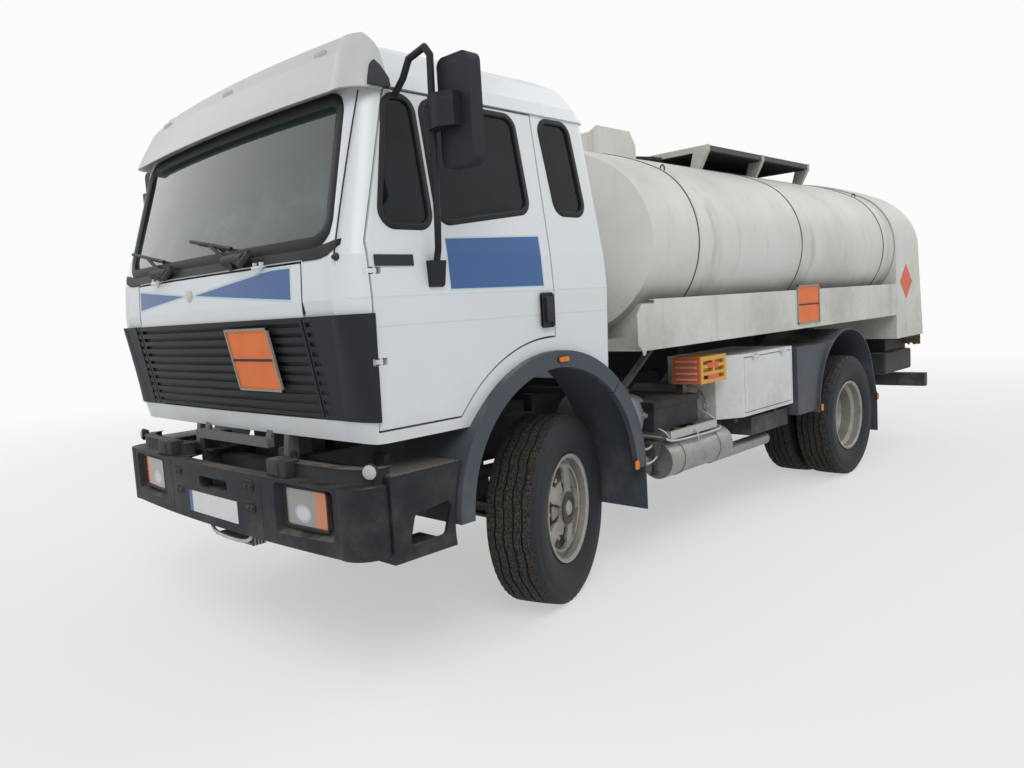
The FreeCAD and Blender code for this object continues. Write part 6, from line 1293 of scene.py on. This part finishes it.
for side, word in ((1, "left"), (-1, "right")):
    x0, x1 = sorted((side * 0.370, side * 0.870))
    cushionSide = [(at(0.850), 1.668), (at(1.320), 1.668), (at(1.325), 1.700), (at(1.205), 1.838), (at(0.900), 1.852), (at(0.850), 1.830)]
    piece = pad("seatCushion." + word, cushionSide, x0, x1, ((1, at(1.02)), (1, at(1.12))))
    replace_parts(piece, "seats")
    backSide = [(at(1.325), 1.690), (at(1.430), 2.300), (at(1.395), 2.308), (at(1.318), 2.300), (at(1.215), 1.850)]
    piece = pad("seatBack." + word, backSide, x0, x1, ((2, 1.98), (2, 2.13)))
    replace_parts(piece, "seats")
low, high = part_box("bunk")
bunkSide = [(low.y, low.z), (high.y, low.z), (high.y, high.z), (low.y, high.z)]
piece = pad("bunkPad", bunkSide, -1.135, 1.135, ((0, -0.55), (0, 0.0), (0, 0.55)), 0.016)
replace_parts(piece, "bunk")
print("seats padded")

# floor, light and camera
def stageSheet(name, corners):
    mesh = bpy.data.meshes.new(name)
    mesh.from_pydata(corners, [], [tuple(range(len(corners)))])
    sheet = bpy.data.objects.new(name, mesh)
    scene.collection.objects.link(sheet)
    return sheet


def straight(tree, kind, settings=None, sockets=None):  # a node in a tree that has no surface shader of its own
    n = tree.nodes.new(kind)
    for key, value in (settings or {}).items():
        setattr(n, key, value)
    for key, value in (sockets or {}).items():
        if isinstance(value, bpy.types.NodeSocket):
            tree.links.new(value, n.inputs[key])
        else:
            n.inputs[key].default_value = value
    return n


def seenDirectly(tree):  # 1 for what the camera sees, straight, mirrored or through glass
    ray = straight(tree, "ShaderNodeLightPath")
    first = straight(tree, "ShaderNodeMath", {"operation": "MAXIMUM"}, {0: ray.outputs["Is Camera Ray"], 1: ray.outputs["Is Transmission Ray"]})
    return straight(tree, "ShaderNodeMath", {"operation": "MAXIMUM"}, {0: first.outputs[0], 1: ray.outputs["Is Glossy Ray"]})


backdropSet = {"white": 0.97, "near": 5.0, "far": 15.0, "keep": 0.50}
floor = stageSheet("floor", [(-60, -60, 0), (60, -60, 0), (60, 60, 0), (-60, 60, 0)])
pale = bpy.data.materials.new("paleFloor")
pale.use_nodes = True
pt = pale.node_tree
ground = pt.nodes["Principled BSDF"]
ground.inputs["Base Color"].default_value = (0.86, 0.86, 0.86, 1)
ground.inputs["Roughness"].default_value = 0.95
ground.inputs["Specular IOR Level"].default_value = 0.1
bright = straight(pt, "ShaderNodeEmission", {}, {"Color": (1, 1, 1, 1), "Strength": backdropSet["white"]})
place = straight(pt, "ShaderNodeTexCoord")
away = straight(pt, "ShaderNodeVectorMath", {"operation": "LENGTH"}, {0: place.outputs["Object"]})
fade = straight(pt, "ShaderNodeMapRange", {"interpolation_type": "SMOOTHSTEP"},
                {"Value": away.outputs["Value"], "From Min": backdropSet["near"], "From Max": backdropSet["far"], "To Min": backdropSet["keep"], "To Max": 1.0})
share = straight(pt, "ShaderNodeMath", {"operation": "MULTIPLY"}, {0: fade.outputs[0], 1: seenDirectly(pt).outputs[0]})
both = straight(pt, "ShaderNodeMixShader", {}, {0: share.outputs[0], 1: ground.outputs[0], 2: bright.outputs[0]})
pt.links.new(both.outputs[0], pt.nodes["Material Output"].inputs[0])
floor.data.materials.append(pale)

world = bpy.data.worlds.new("studioSky")
scene.world = world
world.use_nodes = True
wt = world.node_tree
sky = wt.nodes["Background"]
sky.inputs["Color"].default_value = (0.93, 0.96, 1.0, 1)
sky.inputs["Strength"].default_value = 0.52
seen = straight(wt, "ShaderNodeBackground", {}, {"Color": (1, 1, 1, 1), "Strength": backdropSet["white"]})
choose = straight(wt, "ShaderNodeMixShader", {}, {0: seenDirectly(wt).outputs[0], 1: sky.outputs[0], 2: seen.outputs[0]})
wt.links.new(choose.outputs[0], wt.nodes["World Output"].inputs[0])

studioLights = {
    "keyLight": {"place": (9.0, -9.0, 11.0), "size": 8.0, "watts": 800},
    "fillLight": {"place": (-10.0, -7.0, 8.0), "size": 9.0, "watts": 330},
    "rearLight": {"place": (5.0, 11.0, 10.0), "size": 8.0, "watts": 380},
}
for name, light in studioLights.items():
    lamp = bpy.data.lights.new(name, "AREA")
    lamp.size, lamp.energy = light["size"], light["watts"]
    holder = bpy.data.objects.new(name, lamp)
    holder.location = light["place"]
    holder.rotation_euler = (Vector((0, 0, 1.2)) - Vector(light["place"])).to_track_quat("-Z", "Y").to_euler()
    scene.collection.objects.link(holder)

cameraSet = {"place": (3.9215, -5.4929, 1.6490), "yaw": 0.7695, "pitch": 0.0971, "roll": 0.0604, "lens": 28.10}
cam = bpy.data.cameras.new("camera")
cam.lens, cam.sensor_width = cameraSet["lens"], 36.0
cam.clip_start, cam.clip_end = 0.05, 200
eye = bpy.data.objects.new("camera", cam)
a, p, r = cameraSet["yaw"], cameraSet["pitch"], cameraSet["roll"]
ahead = Vector((-math.sin(a) * math.cos(p), math.cos(a) * math.cos(p), -math.sin(p)))
right = Vector((math.cos(a), math.sin(a), 0))
down = ahead.cross(right)
acrossView = right * math.cos(r) + down * math.sin(r)
downView = -right * math.sin(r) + down * math.cos(r)
turn = Matrix((acrossView, -downView, -ahead)).transposed()
eye.matrix_world = Matrix.Translation(cameraSet["place"]) @ turn.to_4x4()
scene.collection.objects.link(eye)
scene.camera = eye
scene.view_settings.view_transform = "Standard"
print("studio made")
